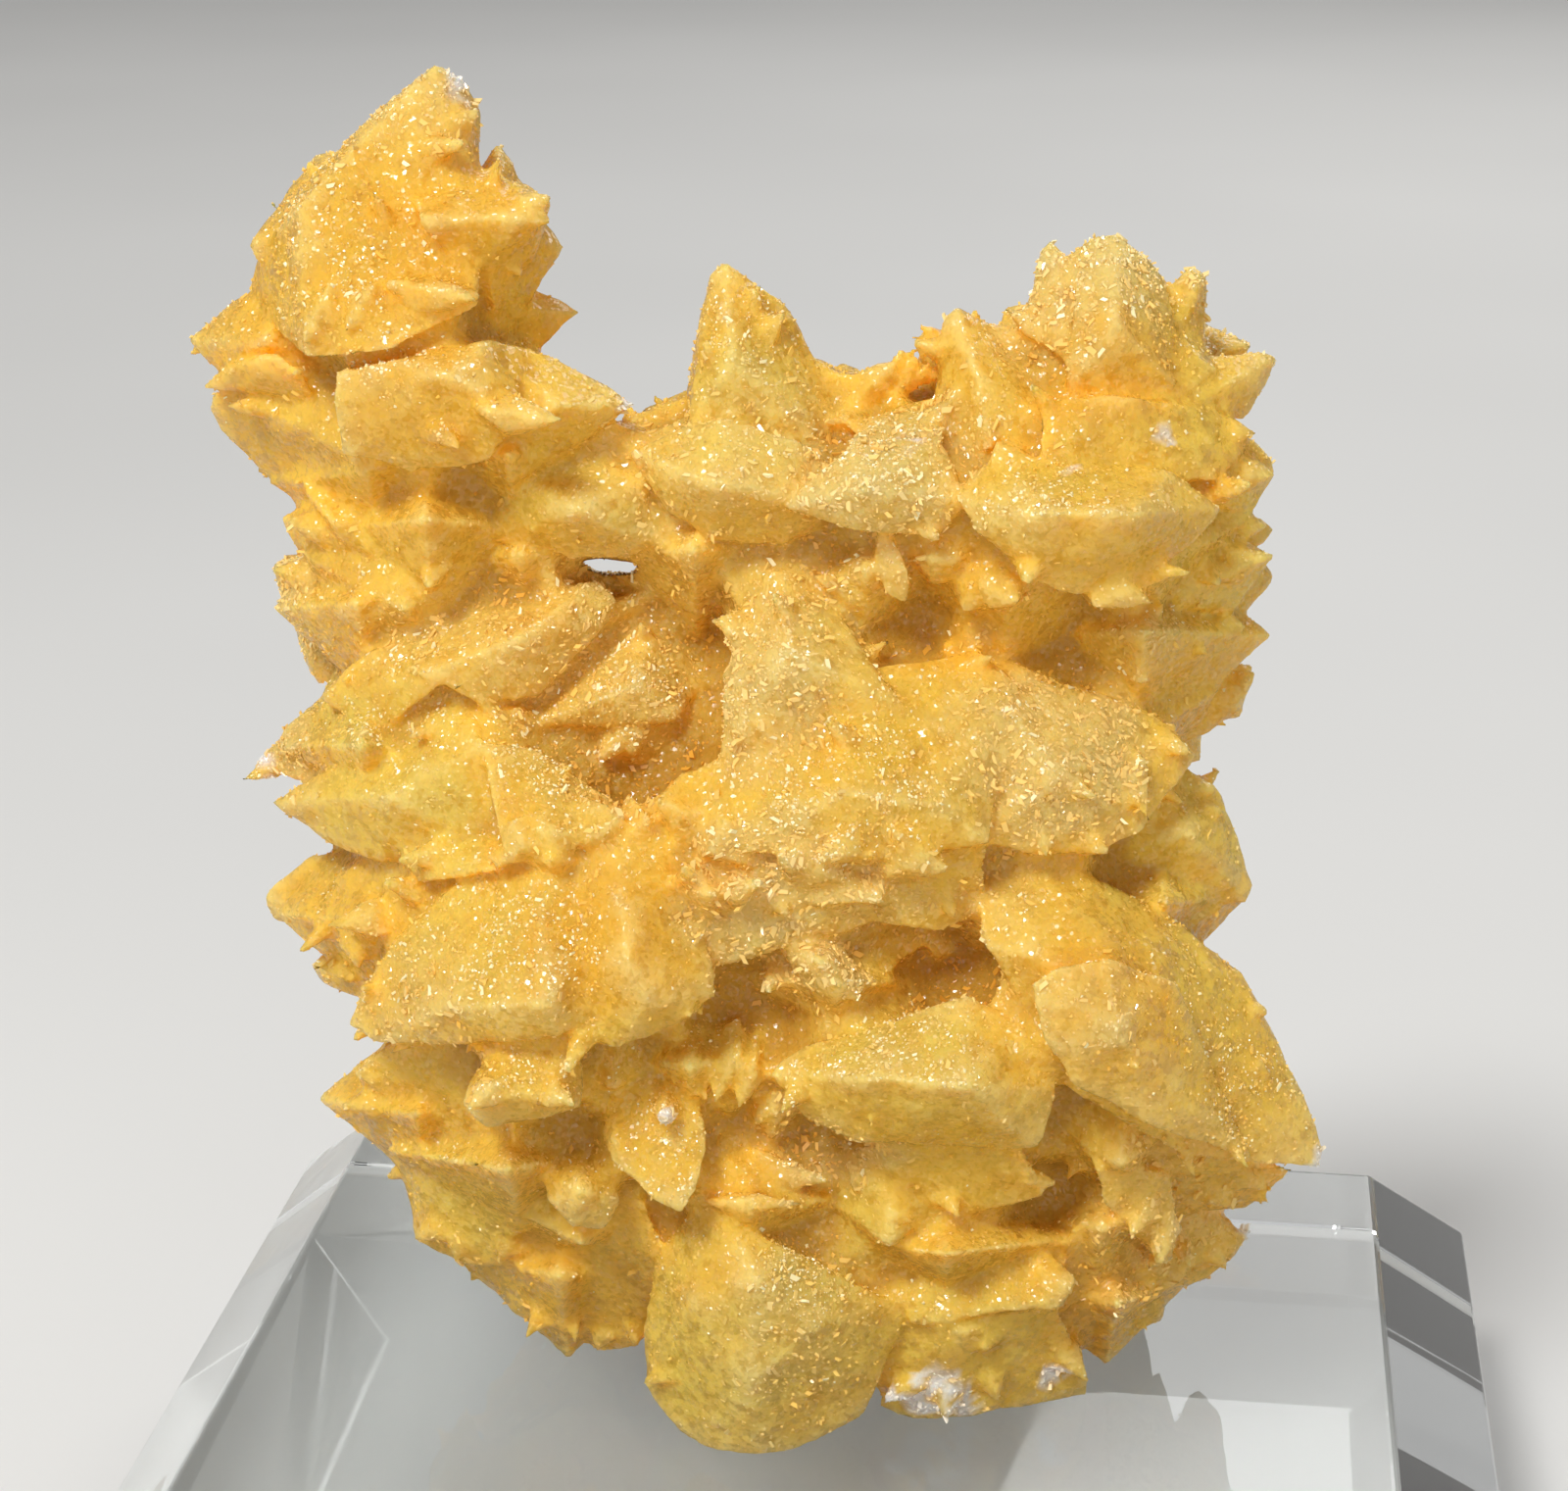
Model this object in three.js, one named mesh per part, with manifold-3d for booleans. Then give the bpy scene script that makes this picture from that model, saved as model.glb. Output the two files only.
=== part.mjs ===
// A selenite-on-calcite mineral specimen standing on a clear bevelled glass block.
// Millimetres, +Z up, the front faces -Y, and the origin is the middle of the block's underside.
// The specimen is one solid: pointed calcite crystals grown together round a lumpy core.
import * as THREE from "three";
import { ConvexGeometry } from "three/addons/geometries/ConvexGeometry.js";
import { mergeVertices } from "three/addons/utils/BufferGeometryUtils.js";
import Module from "manifold-3d";

const wasm = await Module();
wasm.setup();

// Driving dimensions of the glass block.
const blockWide = 75;
const blockDeep = 75;
const blockHigh = 20;
const blockBevelIn = 6.5;
const blockBevelDown = 7;
const blockFootChamfer = 0.6;

// The crystals are laid out as one eye point sees them: across, up, and how far each point lies
// in front of an upright plane through the specimen's middle.
const eyeDistance = 162;
const eyeElevation = THREE.MathUtils.degToRad(20);
const eyeAzimuth = THREE.MathUtils.degToRad(7.5);
const lookedAtPoint = new THREE.Vector3(-1.7, 5.9, 55.3);
const restGap = 0.05; // between the specimen's feet and the glass

// Proportions that every calcite crystal shares.
const beltZigzag = 0.17; // how far the belt's corners step up and down, over the crystal's length
const sharpReach = 1.2; // the sharp ridges' corners, over the half width
const bluntReach = 0.82; // the blunt ridges' corners between them
const tailLength = 0.75; // the buried end, over the crystal's length
const tailReach = 0.7; // how wide that end still is, over the half width
const unevenness = 0.12; // how far a corner strays from the ideal crystal
const beltCorners = 6;
const sharpRidgeSpacing = 120; // degrees round the axis, between the three sharp ridges
const facingLimit = 0.95; // a crystal that points at the eye more than this has its turn from upwards
const drawnIn = 0.6; // how wide a crystal given by its visible corners still is at its buried end

// Corners closer than this are one corner.
const sameCorner = 1e-4;

// The view's own directions in the part's frame.
const towardEye = new THREE.Vector3(
  Math.sin(eyeAzimuth) * Math.cos(eyeElevation),
  -Math.cos(eyeAzimuth) * Math.cos(eyeElevation),
  Math.sin(eyeElevation),
);
const acrossView = new THREE.Vector3(Math.cos(eyeAzimuth), Math.sin(eyeAzimuth), 0);
const upView = towardEye.clone().cross(acrossView);
const eye = lookedAtPoint.clone().addScaledVector(towardEye, eyeDistance);

// A repeatable random number from 0 to 1 (the mulberry32 formula).
let randomState = 20417;
function random() {
  randomState = (randomState + 0x6d2b79f5) | 0;
  let t = Math.imul(randomState ^ (randomState >>> 15), 1 | randomState);
  t = (t + Math.imul(t ^ (t >>> 7), 61 | t)) ^ t;
  return ((t ^ (t >>> 14)) >>> 0) / 4294967296;
}

function stray(amount) {
  return 1 + amount * (2 * random() - 1);
}

// How much smaller than it looks a thing is, when it lies that near and is seen that far up.
function sightScale(up, near) {
  const reach = eyeDistance * Math.cos(eyeElevation);
  return (reach - near) / (reach + up * Math.sin(eyeElevation));
}

// The point in the part's frame that is seen at across and up and lies near in front of the middle.
function seen([across, up, near]) {
  return lookedAtPoint
    .clone()
    .addScaledVector(acrossView, across)
    .addScaledVector(upView, up)
    .sub(eye)
    .multiplyScalar(sightScale(up, near))
    .add(eye);
}

// The closed convex solid round a set of points, ready to join and cut.
function solidAround(points) {
  const hull = new ConvexGeometry(points);
  hull.deleteAttribute("normal");
  const merged = mergeVertices(hull, sameCorner);
  return new wasm.Manifold(
    new wasm.Mesh({
      numProp: 3,
      vertProperties: new Float32Array(merged.attributes.position.array),
      triVerts: new Uint32Array(merged.index.array),
    }),
  );
}

// A ring of corners round a crystal's axis; even corners belong to its three sharp ridges.
function ringRound(centre, front, side, turn, reach) {
  return Array.from({ length: beltCorners }, (_, corner) => {
    const angle = THREE.MathUtils.degToRad(turn + (360 / beltCorners) * corner);
    const out = (corner % 2 === 0 ? sharpReach : bluntReach) * reach * stray(unevenness);
    return centre
      .clone()
      .addScaledVector(front, Math.cos(angle) * out)
      .addScaledVector(side, Math.sin(angle) * out);
  });
}

// A dogtooth crystal: a zigzag belt of six corners round the root, drawn out to a point at the tip
// and tapering into the mass behind. The first sharp ridge is turned that many degrees from the eye.
function crystalBetween(tip, root, halfWide, halfThick, turn) {
  const along = tip.clone().sub(root);
  const length = along.length();
  const axis = along.clone().normalize();
  const facing = Math.abs(axis.dot(towardEye)) < facingLimit ? towardEye : upView;
  const front = facing.clone().addScaledVector(axis, -facing.dot(axis)).normalize();
  const side = axis.clone().cross(front).multiplyScalar(halfWide);
  front.multiplyScalar(halfThick);
  const belt = ringRound(root, front, side, turn, 1).map((point, corner) =>
    point.addScaledVector(axis, (corner % 2 === 0 ? -beltZigzag : beltZigzag) * length),
  );
  const tailEnd = root.clone().addScaledVector(along, -tailLength);
  const tail = ringRound(tailEnd, front, side, turn, tailReach).filter((_, corner) => corner % 2 === 0);
  return solidAround([tip, ...belt, ...tail]);
}

function crystal(tipSeen, rootSeen, halfWide, halfThick, turn) {
  const scale = sightScale(rootSeen[1], rootSeen[2]);
  return crystalBetween(seen(tipSeen), seen(rootSeen), halfWide * scale, halfThick * scale, turn);
}

// A crystal given by the corners that show: its body runs back from them, drawn in round its middle,
// and every third corner is repeated at its buried end.
function body(deep, corners) {
  const [midAcross, midUp] = [0, 1].map(
    (k) => corners.reduce((sum, corner) => sum + corner[k], 0) / corners.length,
  );
  const behind = corners
    .filter((_, i) => i % 3 === 0)
    .map(([across, up, near]) => [
      midAcross + (across - midAcross) * drawnIn,
      midUp + (up - midUp) * drawnIn,
      near - deep,
    ]);
  return solidAround([...corners, ...behind].map(seen));
}

// A rough block of that many sides, 20 or 8, with its corners strayed.
function lump(centreSeen, [halfWide, halfHigh, halfDeep], sides) {
  const centre = seen(centreSeen);
  const corners =
    sides === 8 ? new THREE.OctahedronGeometry(1, 0) : new THREE.IcosahedronGeometry(1, 0);
  corners.deleteAttribute("normal");
  corners.deleteAttribute("uv");
  const shared = mergeVertices(corners, sameCorner).getAttribute("position");
  const points = Array.from({ length: shared.count }, (_, i) =>
    centre
      .clone()
      .addScaledVector(acrossView, shared.getX(i) * halfWide * stray(unevenness))
      .addScaledVector(upView, shared.getY(i) * halfHigh * stray(unevenness))
      .addScaledVector(towardEye, shared.getZ(i) * halfDeep * stray(unevenness)),
  );
  return solidAround(points);
}

// The tower at the upper left, from its top down.
const leftTower = [
  body(7.5, [
    [-17.8, 34.8, 3], [-16.3, 34, 2.5], [-15.4, 32.3, 2], [-15.6, 29.5, 3], [-20.5, 32.6, 3],
    [-25, 28, 3], [-27, 24.5, 2], [-27.2, 22.8, 1], [-24.8, 27.5, 6.5], [-24.7, 21, 8],
    [-24.2, 19.6, 8.5], [-20, 20, 9.5], [-15.6, 22.4, 8],
  ]),
  body(5.5, [
    [-19, 28, 6], [-16, 29.3, 4.5], [-13, 28.8, 4.5], [-11.8, 27.7, 5], [-12.4, 25.3, 5],
    [-13.1, 23.6, 4], [-18.5, 26.8, 8], [-13.4, 26.9, 7.4], [-15.8, 23.3, 6],
  ]),
  crystal([-14.5, 30.2, 3.5], [-14.9, 28.2, 4], 1, 1.3, 30),
  crystal([-15.2, 22.9, 8.6], [-18.4, 23.1, 7.4], 1.1, 1.6, 0),
  body(4.5, [
    [-30.4, 20.7, 1], [-28, 22.6, 1.5], [-27.2, 23, 2], [-25, 23, 3], [-25, 20, 4],
    [-28.9, 19.1, 2], [-26.5, 20.6, 5],
  ]),
  body(4, [
    [-29.6, 18.3, 2.5], [-28.5, 19.4, 3.5], [-26, 20, 5.5], [-24.4, 19, 6], [-24, 17.7, 5],
  ]),
  body(6.5, [
    [-29.3, 17.2, 0], [-28.7, 16, 0], [-26, 13.3, 0], [-24.3, 12.2, 0], [-23, 17.9, 4.5],
    [-22.4, 13.2, 3.5], [-29, 18, 1],
  ]),
  body(8.5, [
    [-22.8, 19, 8.5], [-20, 19.8, 9], [-15, 20.8, 8], [-12.8, 20.3, 6], [-23, 17.5, 8.5],
    [-22.5, 15, 8], [-19, 14, 7.5], [-15, 14.5, 8.5], [-14, 17, 9.5], [-17, 19, 10],
  ]),
  body(4.5, [
    [-7.6, 17.4, 6], [-9, 18.3, 5.5], [-12.3, 20, 5.5], [-15, 20.6, 6], [-9, 16.4, 6.5],
    [-12, 14, 6], [-15, 15.5, 7.5], [-11.5, 17.3, 8.5],
  ]),
  body(4, [
    [-10.3, 22.1, 2.5], [-11.5, 22.9, 2], [-13, 23.4, 2], [-14.2, 22.3, 4], [-12.5, 20.2, 3],
  ]),
  body(4.5, [
    [-25.6, 11.6, 1], [-24, 12.6, 2], [-22.6, 12.4, 3], [-19.8, 8.6, 4.5], [-24.8, 10, 1],
    [-22, 10.8, 5], [-23, 8.5, 2],
  ]),
  body(4.5, [
    [-26.2, 9.2, -3], [-25.6, 9.6, -3], [-24.4, 9.8, -1], [-24.8, 6.8, -3], [-24.4, 4.4, -3],
    [-23.6, 3, -2], [-21.6, 5, 0.5], [-22, 9, 1],
  ]),
  crystal([-18.3, 7.7, 6.6], [-17.6, 9.2, 3.4], 1, 1.2, 0),
];

// The left flank: spears that point out to the left, and the tongues round the hollow.
const leftFlank = [
  body(4.5, [
    [-23.6, 2.4, 4.5], [-22.5, 3.8, 5], [-21, 5, 5], [-18.4, 5, 6], [-17.6, 3, 8], [-20, 1, 6.5],
    [-22, 1.3, 5],
  ]),
  body(5.5, [
    [-21, 5, 4.5], [-16, 7, 4.5], [-9.5, 8.4, 4], [-8.6, 7.5, 4], [-8.8, 6.3, 4.5],
    [-12.5, 2.5, 6.5], [-15.5, 2.2, 7.5], [-13.5, 5.5, 7.5], [-18.5, 3.5, 8],
  ]),
  body(4, [
    [-26.9, -1, 1], [-26.6, -0.4, 1], [-25.3, 1, 1.5], [-24, 2, 2], [-22.3, 1.5, 4], [-22, 0, 4],
    [-24.8, -1.9, 2.5],
  ]),
  body(6.5, [
    [-26.2, -2.9, 4.5], [-24, -1.6, 5], [-19.5, 0.2, 6], [-16.5, 1.6, 7], [-15.2, 0, 8.5],
    [-15, -5, 9], [-20.5, -5.9, 7], [-23, -5, 5.5], [-20, -2.6, 9],
  ]),
  body(5.5, [
    [-15.3, 0, 8.5], [-12.8, -0.2, 8], [-8, -3.2, 8.5], [-9.5, -5, 11.5], [-14.5, -5.2, 12],
  ]),
  body(3.5, [
    [-15.6, 2.4, 6.5], [-13, 1.6, 6], [-12, 0.2, 6], [-14.6, -0.4, 8], [-16.8, 0.8, 7],
  ]),
  body(4.5, [
    [-12.6, 1.2, 4], [-11.7, 2.2, 3.5], [-7.5, 5.8, 0.5], [-5.6, 5.2, 0.8], [-3.6, 2.4, 1.4],
    [-3.4, -0.4, 2.4], [-7.6, -0.8, 5], [-12, 0.4, 4.5], [-7.5, 2.5, 5.4],
  ]),
  body(3.5, [
    [-8.4, -0.2, 3.4], [-6.6, -0.4, 2.6], [-7.6, -2.6, 3.6], [-9.4, -2.4, 5], [-11.4, -1, 5],
  ]),
  body(4.5, [
    [-26.4, -7.8, 0], [-26, -7.1, 0], [-24, -5.5, 0.5], [-21.5, -5.5, 2.5], [-20.5, -7.5, 3.5],
    [-22.5, -8.6, 3], [-24.7, -9.4, 0], [-26, -8.8, 0],
  ]),
  body(4, [
    [-23.6, -8.9, 3.5], [-22.5, -8.5, 4.2], [-20.6, -8, 4.5], [-19.6, -9.5, 5.5], [-21, -11, 5],
    [-22.2, -11.2, 4.5],
  ]),
  body(3.5, [
    [-20.5, -6.9, 6.5], [-19.8, -6.4, 6.5], [-18, -6.7, 7.5], [-17.6, -8.4, 8.8], [-19.6, -9, 8],
  ]),
  body(4, [
    [-19.6, -5.6, 8], [-18.5, -5.2, 8], [-15, -4.8, 9.5], [-14.5, -6.4, 11.4], [-18.6, -7, 9.2],
  ]),
  body(4, [
    [-24.2, -11.2, 1], [-23.5, -10.6, 1], [-20.6, -10.6, 4], [-20.5, -12.4, 5], [-21.5, -13, 3.6],
    [-23.5, -12.2, 1],
  ]),
];

// The big crystal at the lower left and what hangs below it.
const lowerLeft = [
  body(10, [
    [-22.3, -14.2, 8.5], [-21.6, -12.8, 8.2], [-19.8, -9.8, 9], [-17.2, -7.4, 9.5],
    [-14.2, -5.2, 9.8], [-11, -4.5, 9.8], [-9.2, -9, 12], [-9.6, -14, 13.4], [-11.6, -14.8, 14.4],
    [-14.5, -15.2, 13.6], [-20.9, -15.2, 10], [-12, -13.2, 15.6], [-17, -13.4, 13.6],
    [-12.4, -8.4, 12.8],
  ]),
  body(8.5, [
    [-12.4, -9, 11.4], [-10.6, -4.4, 9.8], [-8, -3.6, 9.8], [-5.6, -4.6, 10.4], [-5.2, -8.6, 11.6],
    [-3.7, -11.2, 12.2], [-3.5, -12.8, 12.6], [-5, -14, 12.8], [-8.6, -15.4, 13.4],
    [-11.4, -14.4, 13], [-8, -10.8, 14.8], [-7, -13.2, 14.6], [-8.4, -7.4, 12.8],
  ]),
  body(4.5, [
    [-21.9, -16.7, 5], [-21.2, -16.2, 5.5], [-20, -15, 7], [-16, -15, 8.6], [-15.4, -18.8, 8.6],
    [-20.5, -18.8, 5.5],
  ]),
  body(6.5, [
    [-16.4, -18.3, 13], [-16, -17, 12.5], [-14, -14.2, 11.5], [-11, -14.5, 12], [-10.3, -16.5, 12],
    [-10.4, -18.3, 12.6], [-12, -19, 13.4], [-15.2, -19.6, 13.4], [-11.5, -17.8, 14.2],
    [-15.6, -18, 14.6],
  ]),
  body(3.5, [
    [-22.5, -18.3, 0], [-21.8, -17.5, 0], [-20, -17.2, 2], [-19, -19.6, 3], [-20.5, -19.6, 1],
    [-22.2, -19, 0],
  ]),
  body(7.5, [
    [-20, -19.6, 3], [-19, -22, 3], [-18.8, -25.2, 3], [-16.5, -26.5, 4], [-14, -26.6, 5],
    [-13, -22, 8.5], [-14, -19.2, 9.5], [-17.5, -18.6, 7.4],
  ]),
  body(7.5, [
    [-13, -21, 8], [-14, -26.6, 4.5], [-11.8, -29, 3.5], [-11, -30, 3], [-9.5, -30.9, 3],
    [-7.4, -30.7, 4.5], [-6, -26, 8.5], [-8, -21, 9.5],
  ]),
  body(4, [
    [-12.3, -21.7, 9.8], [-10.5, -20.8, 9.5], [-8.6, -21.5, 9.8], [-8.3, -23.3, 10.5],
    [-9.2, -24.7, 10.5], [-10.8, -24.6, 11], [-12, -23.2, 10.5], [-10.4, -22.8, 12.2],
  ]),
  body(5.5, [
    [-9.4, -19.6, 10.4], [-8.6, -17.8, 9.8], [-6.6, -16.8, 9.4], [-4.4, -17.8, 9.8],
    [-3.9, -20.6, 11.4], [-4.4, -22.6, 12.4], [-5.2, -24, 12.8], [-6.8, -23.2, 12.6],
    [-8.8, -21.2, 11.8],
  ]),
  body(4, [
    [2.2, -22.2, 7.5], [1.4, -21, 7.5], [-1, -20.2, 7.5], [-4.4, -20.2, 8.5], [-4.8, -23.8, 9.5],
    [-2, -24, 9], [1.2, -23.3, 8], [-2, -21.9, 10.2],
  ]),
  body(4, [
    [-2.7, -18.8, 9.5], [-3.8, -18.2, 9.5], [-4.3, -15.5, 9], [-2.7, -14.2, 9], [-1.1, -15.2, 9],
    [-1, -17, 9.5], [-2.4, -16.5, 10.8],
  ]),
  body(3.5, [
    [-0.6, -20.2, 9], [-1.8, -18.6, 9.3], [-0.6, -17.4, 9], [0.8, -18.6, 9], [-0.4, -18.8, 10],
  ]),
];

// The foot: the broad shield in front and the broken white crystals beside it.
const foot = [
  body(7.5, [
    [-4.6, -23.5, 9.6], [-2.4, -24.3, 10.6], [0.4, -25.8, 10.8], [2.2, -27.8, 10.4],
    [5.6, -28.4, 9.4], [6.2, -29.2, 8.8], [4.6, -33, 8.6], [4.1, -34.2, 8.8], [1.8, -35.4, 9.6],
    [-1.2, -36.4, 10.2], [-3.2, -36.2, 10], [-5.2, -35, 9], [-7.2, -32.6, 7.8], [-7, -29, 7.8],
    [-6.4, -26, 8.4], [-4.6, -28.4, 11.4], [-1.4, -27.4, 12.6], [1.4, -29.8, 12],
    [-1.8, -32.6, 12.6],
  ]),
  body(4.5, [
    [0.6, -25.3, 6.5], [2, -24.6, 6.5], [10, -25.2, 7.5], [12.5, -26, 7.5], [10, -28, 9],
    [6, -28.6, 9.5], [1, -26.4, 7.5],
  ]),
  body(5.5, [
    [14.9, -27.3, 8.5], [13.2, -25.6, 7.5], [10.5, -25.2, 7.5], [6, -28.3, 9], [6.5, -29.5, 9.5],
    [12, -28.8, 9.8], [14.2, -28.6, 9],
  ]),
  body(7.5, [
    [6, -28.5, 9], [4.8, -32.4, 7.5], [4.8, -33.8, 7], [8, -34.6, 6.9], [9.8, -33.9, 7],
    [15.4, -33.2, 4.5], [15.5, -32.2, 4.8], [14.6, -30, 6.5], [14, -28.6, 8], [9, -30, 9.6],
  ]),
  body(6.5, [
    [19.4, -28.5, 2], [19.3, -29.3, 2], [17, -30.2, 2.5], [15, -30.9, 3], [13.6, -28.5, 6],
    [14.6, -24.6, 8], [18, -24.6, 6], [19, -28, 3],
  ]),
  body(4.5, [
    [23.6, -25.1, 2], [22.6, -24, 2], [21.5, -23.4, 3], [19.6, -23.6, 5], [18.8, -27.5, 4],
    [19.4, -28, 2.5], [21.5, -27.3, 2], [23, -26, 2],
  ]),
  body(4, [
    [15.8, -21.6, 9.6], [18, -21.4, 9], [19.8, -21.8, 8], [20.1, -24.8, 6.5], [19.8, -26.3, 6],
    [19.2, -26.4, 6.2], [16.2, -23.2, 8.8],
  ]),
  body(5.5, [
    [25, -22.5, 4], [23.5, -23.6, 3.5], [20, -24, 5], [17, -21, 8.6], [22, -20.5, 8],
    [26, -21.6, 6],
  ]),
  body(4.5, [
    [3.5, -20.7, 9], [4.8, -23, 9], [6.3, -24.6, 9], [9.5, -23.6, 9.5], [13.4, -23, 9.8],
    [12, -19.8, 11.4], [5, -19.8, 11.4],
  ]),
];

// The big crystals at the lower right, round the deep pocket.
const lowerRight = [
  body(10, [
    [9.9, -7, 9], [10.6, -6.4, 8.5], [13, -6.1, 8], [15, -6.4, 7.5], [17.5, -7.6, 7], [20, -9, 6.5],
    [23.3, -11.6, 6], [24.8, -14.3, 6], [27, -19, 7], [27.6, -20.8, 7], [27.3, -21.6, 7.5],
    [20.5, -21, 10], [17, -18.5, 11.5], [14.5, -17.5, 11.5], [10.2, -10, 11], [14, -11.3, 12.6],
    [17, -11, 12],
  ]),
  body(6.5, [
    [12.5, -12.2, 14.5], [14, -11.3, 14], [16.5, -10.8, 13], [20, -12, 11.5], [13.3, -15, 14.5],
    [14.6, -17.2, 14], [19, -19.5, 12.5], [24, -21.3, 9.5], [17, -14.5, 15],
  ]),
  body(8.5, [
    [-0.8, -16.8, 12], [-0.2, -16, 11.5], [1.5, -15.2, 11.5], [6.5, -14.2, 11.5], [9.5, -12.8, 11],
    [12, -14, 11.5], [14, -17.5, 12], [13, -20.6, 11.5], [3.5, -20.2, 12], [1, -19, 12],
    [4.5, -17, 14.6], [9.4, -17.4, 15],
  ]),
  body(4.5, [
    [3.9, -13.1, 11.5], [4.1, -12, 11], [3, -10.2, 10], [0.5, -9.2, 9.5], [-0.8, -9.8, 9.5],
    [0.5, -11.5, 10.8], [2.4, -12.8, 11.5], [1.8, -11, 12.4],
  ]),
  body(4, [
    [5.1, -7.6, 11.8], [4.8, -6.6, 11], [3, -6, 10.5], [0.5, -6.2, 10], [-0.6, -7.8, 10],
    [0.6, -8.7, 10.4], [3, -8.1, 11.8],
  ]),
  body(4.5, [
    [4.6, -5.6, 11], [10, -5.4, 9.5], [10.2, -8.4, 9.5], [8, -9.4, 9.8], [4.6, -9, 10.4],
  ]),
];

// The middle: the centre spike, its shoulders, and the sugar-crusted swell below the hollow.
const middle = [
  body(4.5, [
    [-3, 24.7, 4], [-3.8, 24, 3.8], [-4.2, 22.7, 3.5], [-5, 18, 3.5], [-1.5, 23.4, 3.5],
    [-0.2, 22.8, 3.2], [2.5, 18.2, 3.5], [2, 15, 6], [-5, 16, 6], [-2.6, 20, 6.5],
  ]),
  body(4, [
    [5.7, 19, 1], [5, 19, 1], [2.7, 18.2, 1.5], [2.5, 15.5, 3], [5.5, 15.5, 3], [5.6, 17, 1.5],
  ]),
  body(7.5, [
    [-8, 15, 6.5], [-5, 16.4, 6.5], [-3, 16.6, 7], [0.5, 15.6, 7.5], [3, 14, 7], [3, 11.5, 6.5],
    [0, 10.2, 7], [-4, 10.6, 7], [-6, 12, 7], [-3.5, 13.4, 9.5], [0, 12.6, 9],
  ]),
  body(4, [
    [-11, 15, 2.5], [-8, 16.4, 2.5], [-6, 17.6, 2.5], [-4.8, 18, 3], [-4, 14, 4], [-9, 13.5, 4],
  ]),
  body(4.5, [
    [-15, 14.2, 5], [-9, 14.6, 6], [-7.2, 13.5, 6.5], [-6.6, 10.2, 6], [-8, 9.5, 5.5],
    [-10.8, 9.6, 5.5], [-15, 10.6, 5], [-10.5, 12, 8],
  ]),
  body(5.5, [
    [0.1, 12.2, 9], [1, 13.1, 9], [3.5, 15.5, 8], [8, 15.8, 7.5], [9.4, 12.5, 9], [8, 10.6, 8.5],
    [5.5, 10.8, 9], [3.5, 11, 9.3], [4, 13, 10.5],
  ]),
  body(3.5, [
    [3.2, 16.2, 6], [4.5, 16.7, 5.5], [7.6, 17.8, 5], [8.2, 16, 7.5], [8.2, 14.6, 8],
    [5, 14.8, 7.8],
  ]),
  body(7.5, [
    [-1.8, 9.6, 5.5], [0.8, 9.6, 5.5], [1.2, 8, 6.5], [3, 6.4, 7.5], [3.1, 3.8, 8.5], [6, 2, 9.4],
    [-3.5, -1.6, 9.5], [-2.9, 3, 8.5], [-2, 6.4, 7], [0.2, 4.8, 10], [0, 8.5, 7.5],
  ]),
  crystal([-3.9, 6.5, 5.4], [-1.6, 5.6, 4.6], 1.1, 1.4, 0),
  body(3, [
    [4.8, 10.9, 8], [5.6, 10.6, 8], [6.4, 8.4, 8], [6.3, 7.2, 8], [5.2, 7.8, 8.2], [4.6, 9.8, 8],
  ]),
  body(3.5, [
    [1.2, 8.2, 5], [2.5, 8.9, 5], [4.4, 8.8, 5.5], [4.9, 7.4, 5.5], [3.8, 7.2, 6], [2, 7.6, 5.8],
  ]),
  body(4, [
    [7, 11.4, 7], [9.4, 11, 7.5], [9.6, 8.8, 7], [7.6, 8.2, 7], [6.4, 9.6, 7], [8, 9.6, 8.2],
  ]),
  body(8.5, [
    [-3.5, -1.2, 9.5], [3.1, 3.8, 8], [6.3, 4.3, 7.5], [10, 4.8, 6.5], [12, 3, 7.5],
    [10.4, -5, 11.5], [5, -5.8, 12], [-2, -5.4, 12], [-5, -3.4, 10.5], [-7.6, -3.2, 9.5],
    [3, -2.5, 12.6], [8, -3, 12.2],
  ]),
  body(6, [
    [-6, -5.2, 10.6], [-4, -3.6, 10.4], [3, -4.6, 11.6], [10.4, -4.6, 11], [10.2, -7.4, 9.6],
    [4.8, -7.6, 10.8], [-0.4, -9.2, 10.4], [-3.6, -11.4, 11.2], [-5.4, -9, 11.4],
  ]),
  body(8.5, [
    [8, 5.4, 6], [14, 3, 6.5], [17, 2.3, 6], [19, 1.4, 5.5], [21, -0.5, 5.5], [20, -1, 6],
    [18.4, -4.4, 8], [16.5, -5.3, 8.5], [13, -5.6, 9.5], [10.3, -5, 10.5], [14, -1.5, 10.2],
  ]),
  body(5.5, [
    [19.8, -0.6, 3], [22, -2.2, 2.5], [22.7, -3.5, 2.5], [24, -7.2, 2.5], [23.6, -8.1, 2.8],
    [20, -8.4, 3.5], [18, -7.8, 4], [16.5, -5.5, 5], [18.6, -3.5, 5], [20.8, -4.6, 5.5],
  ]),
];

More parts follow.
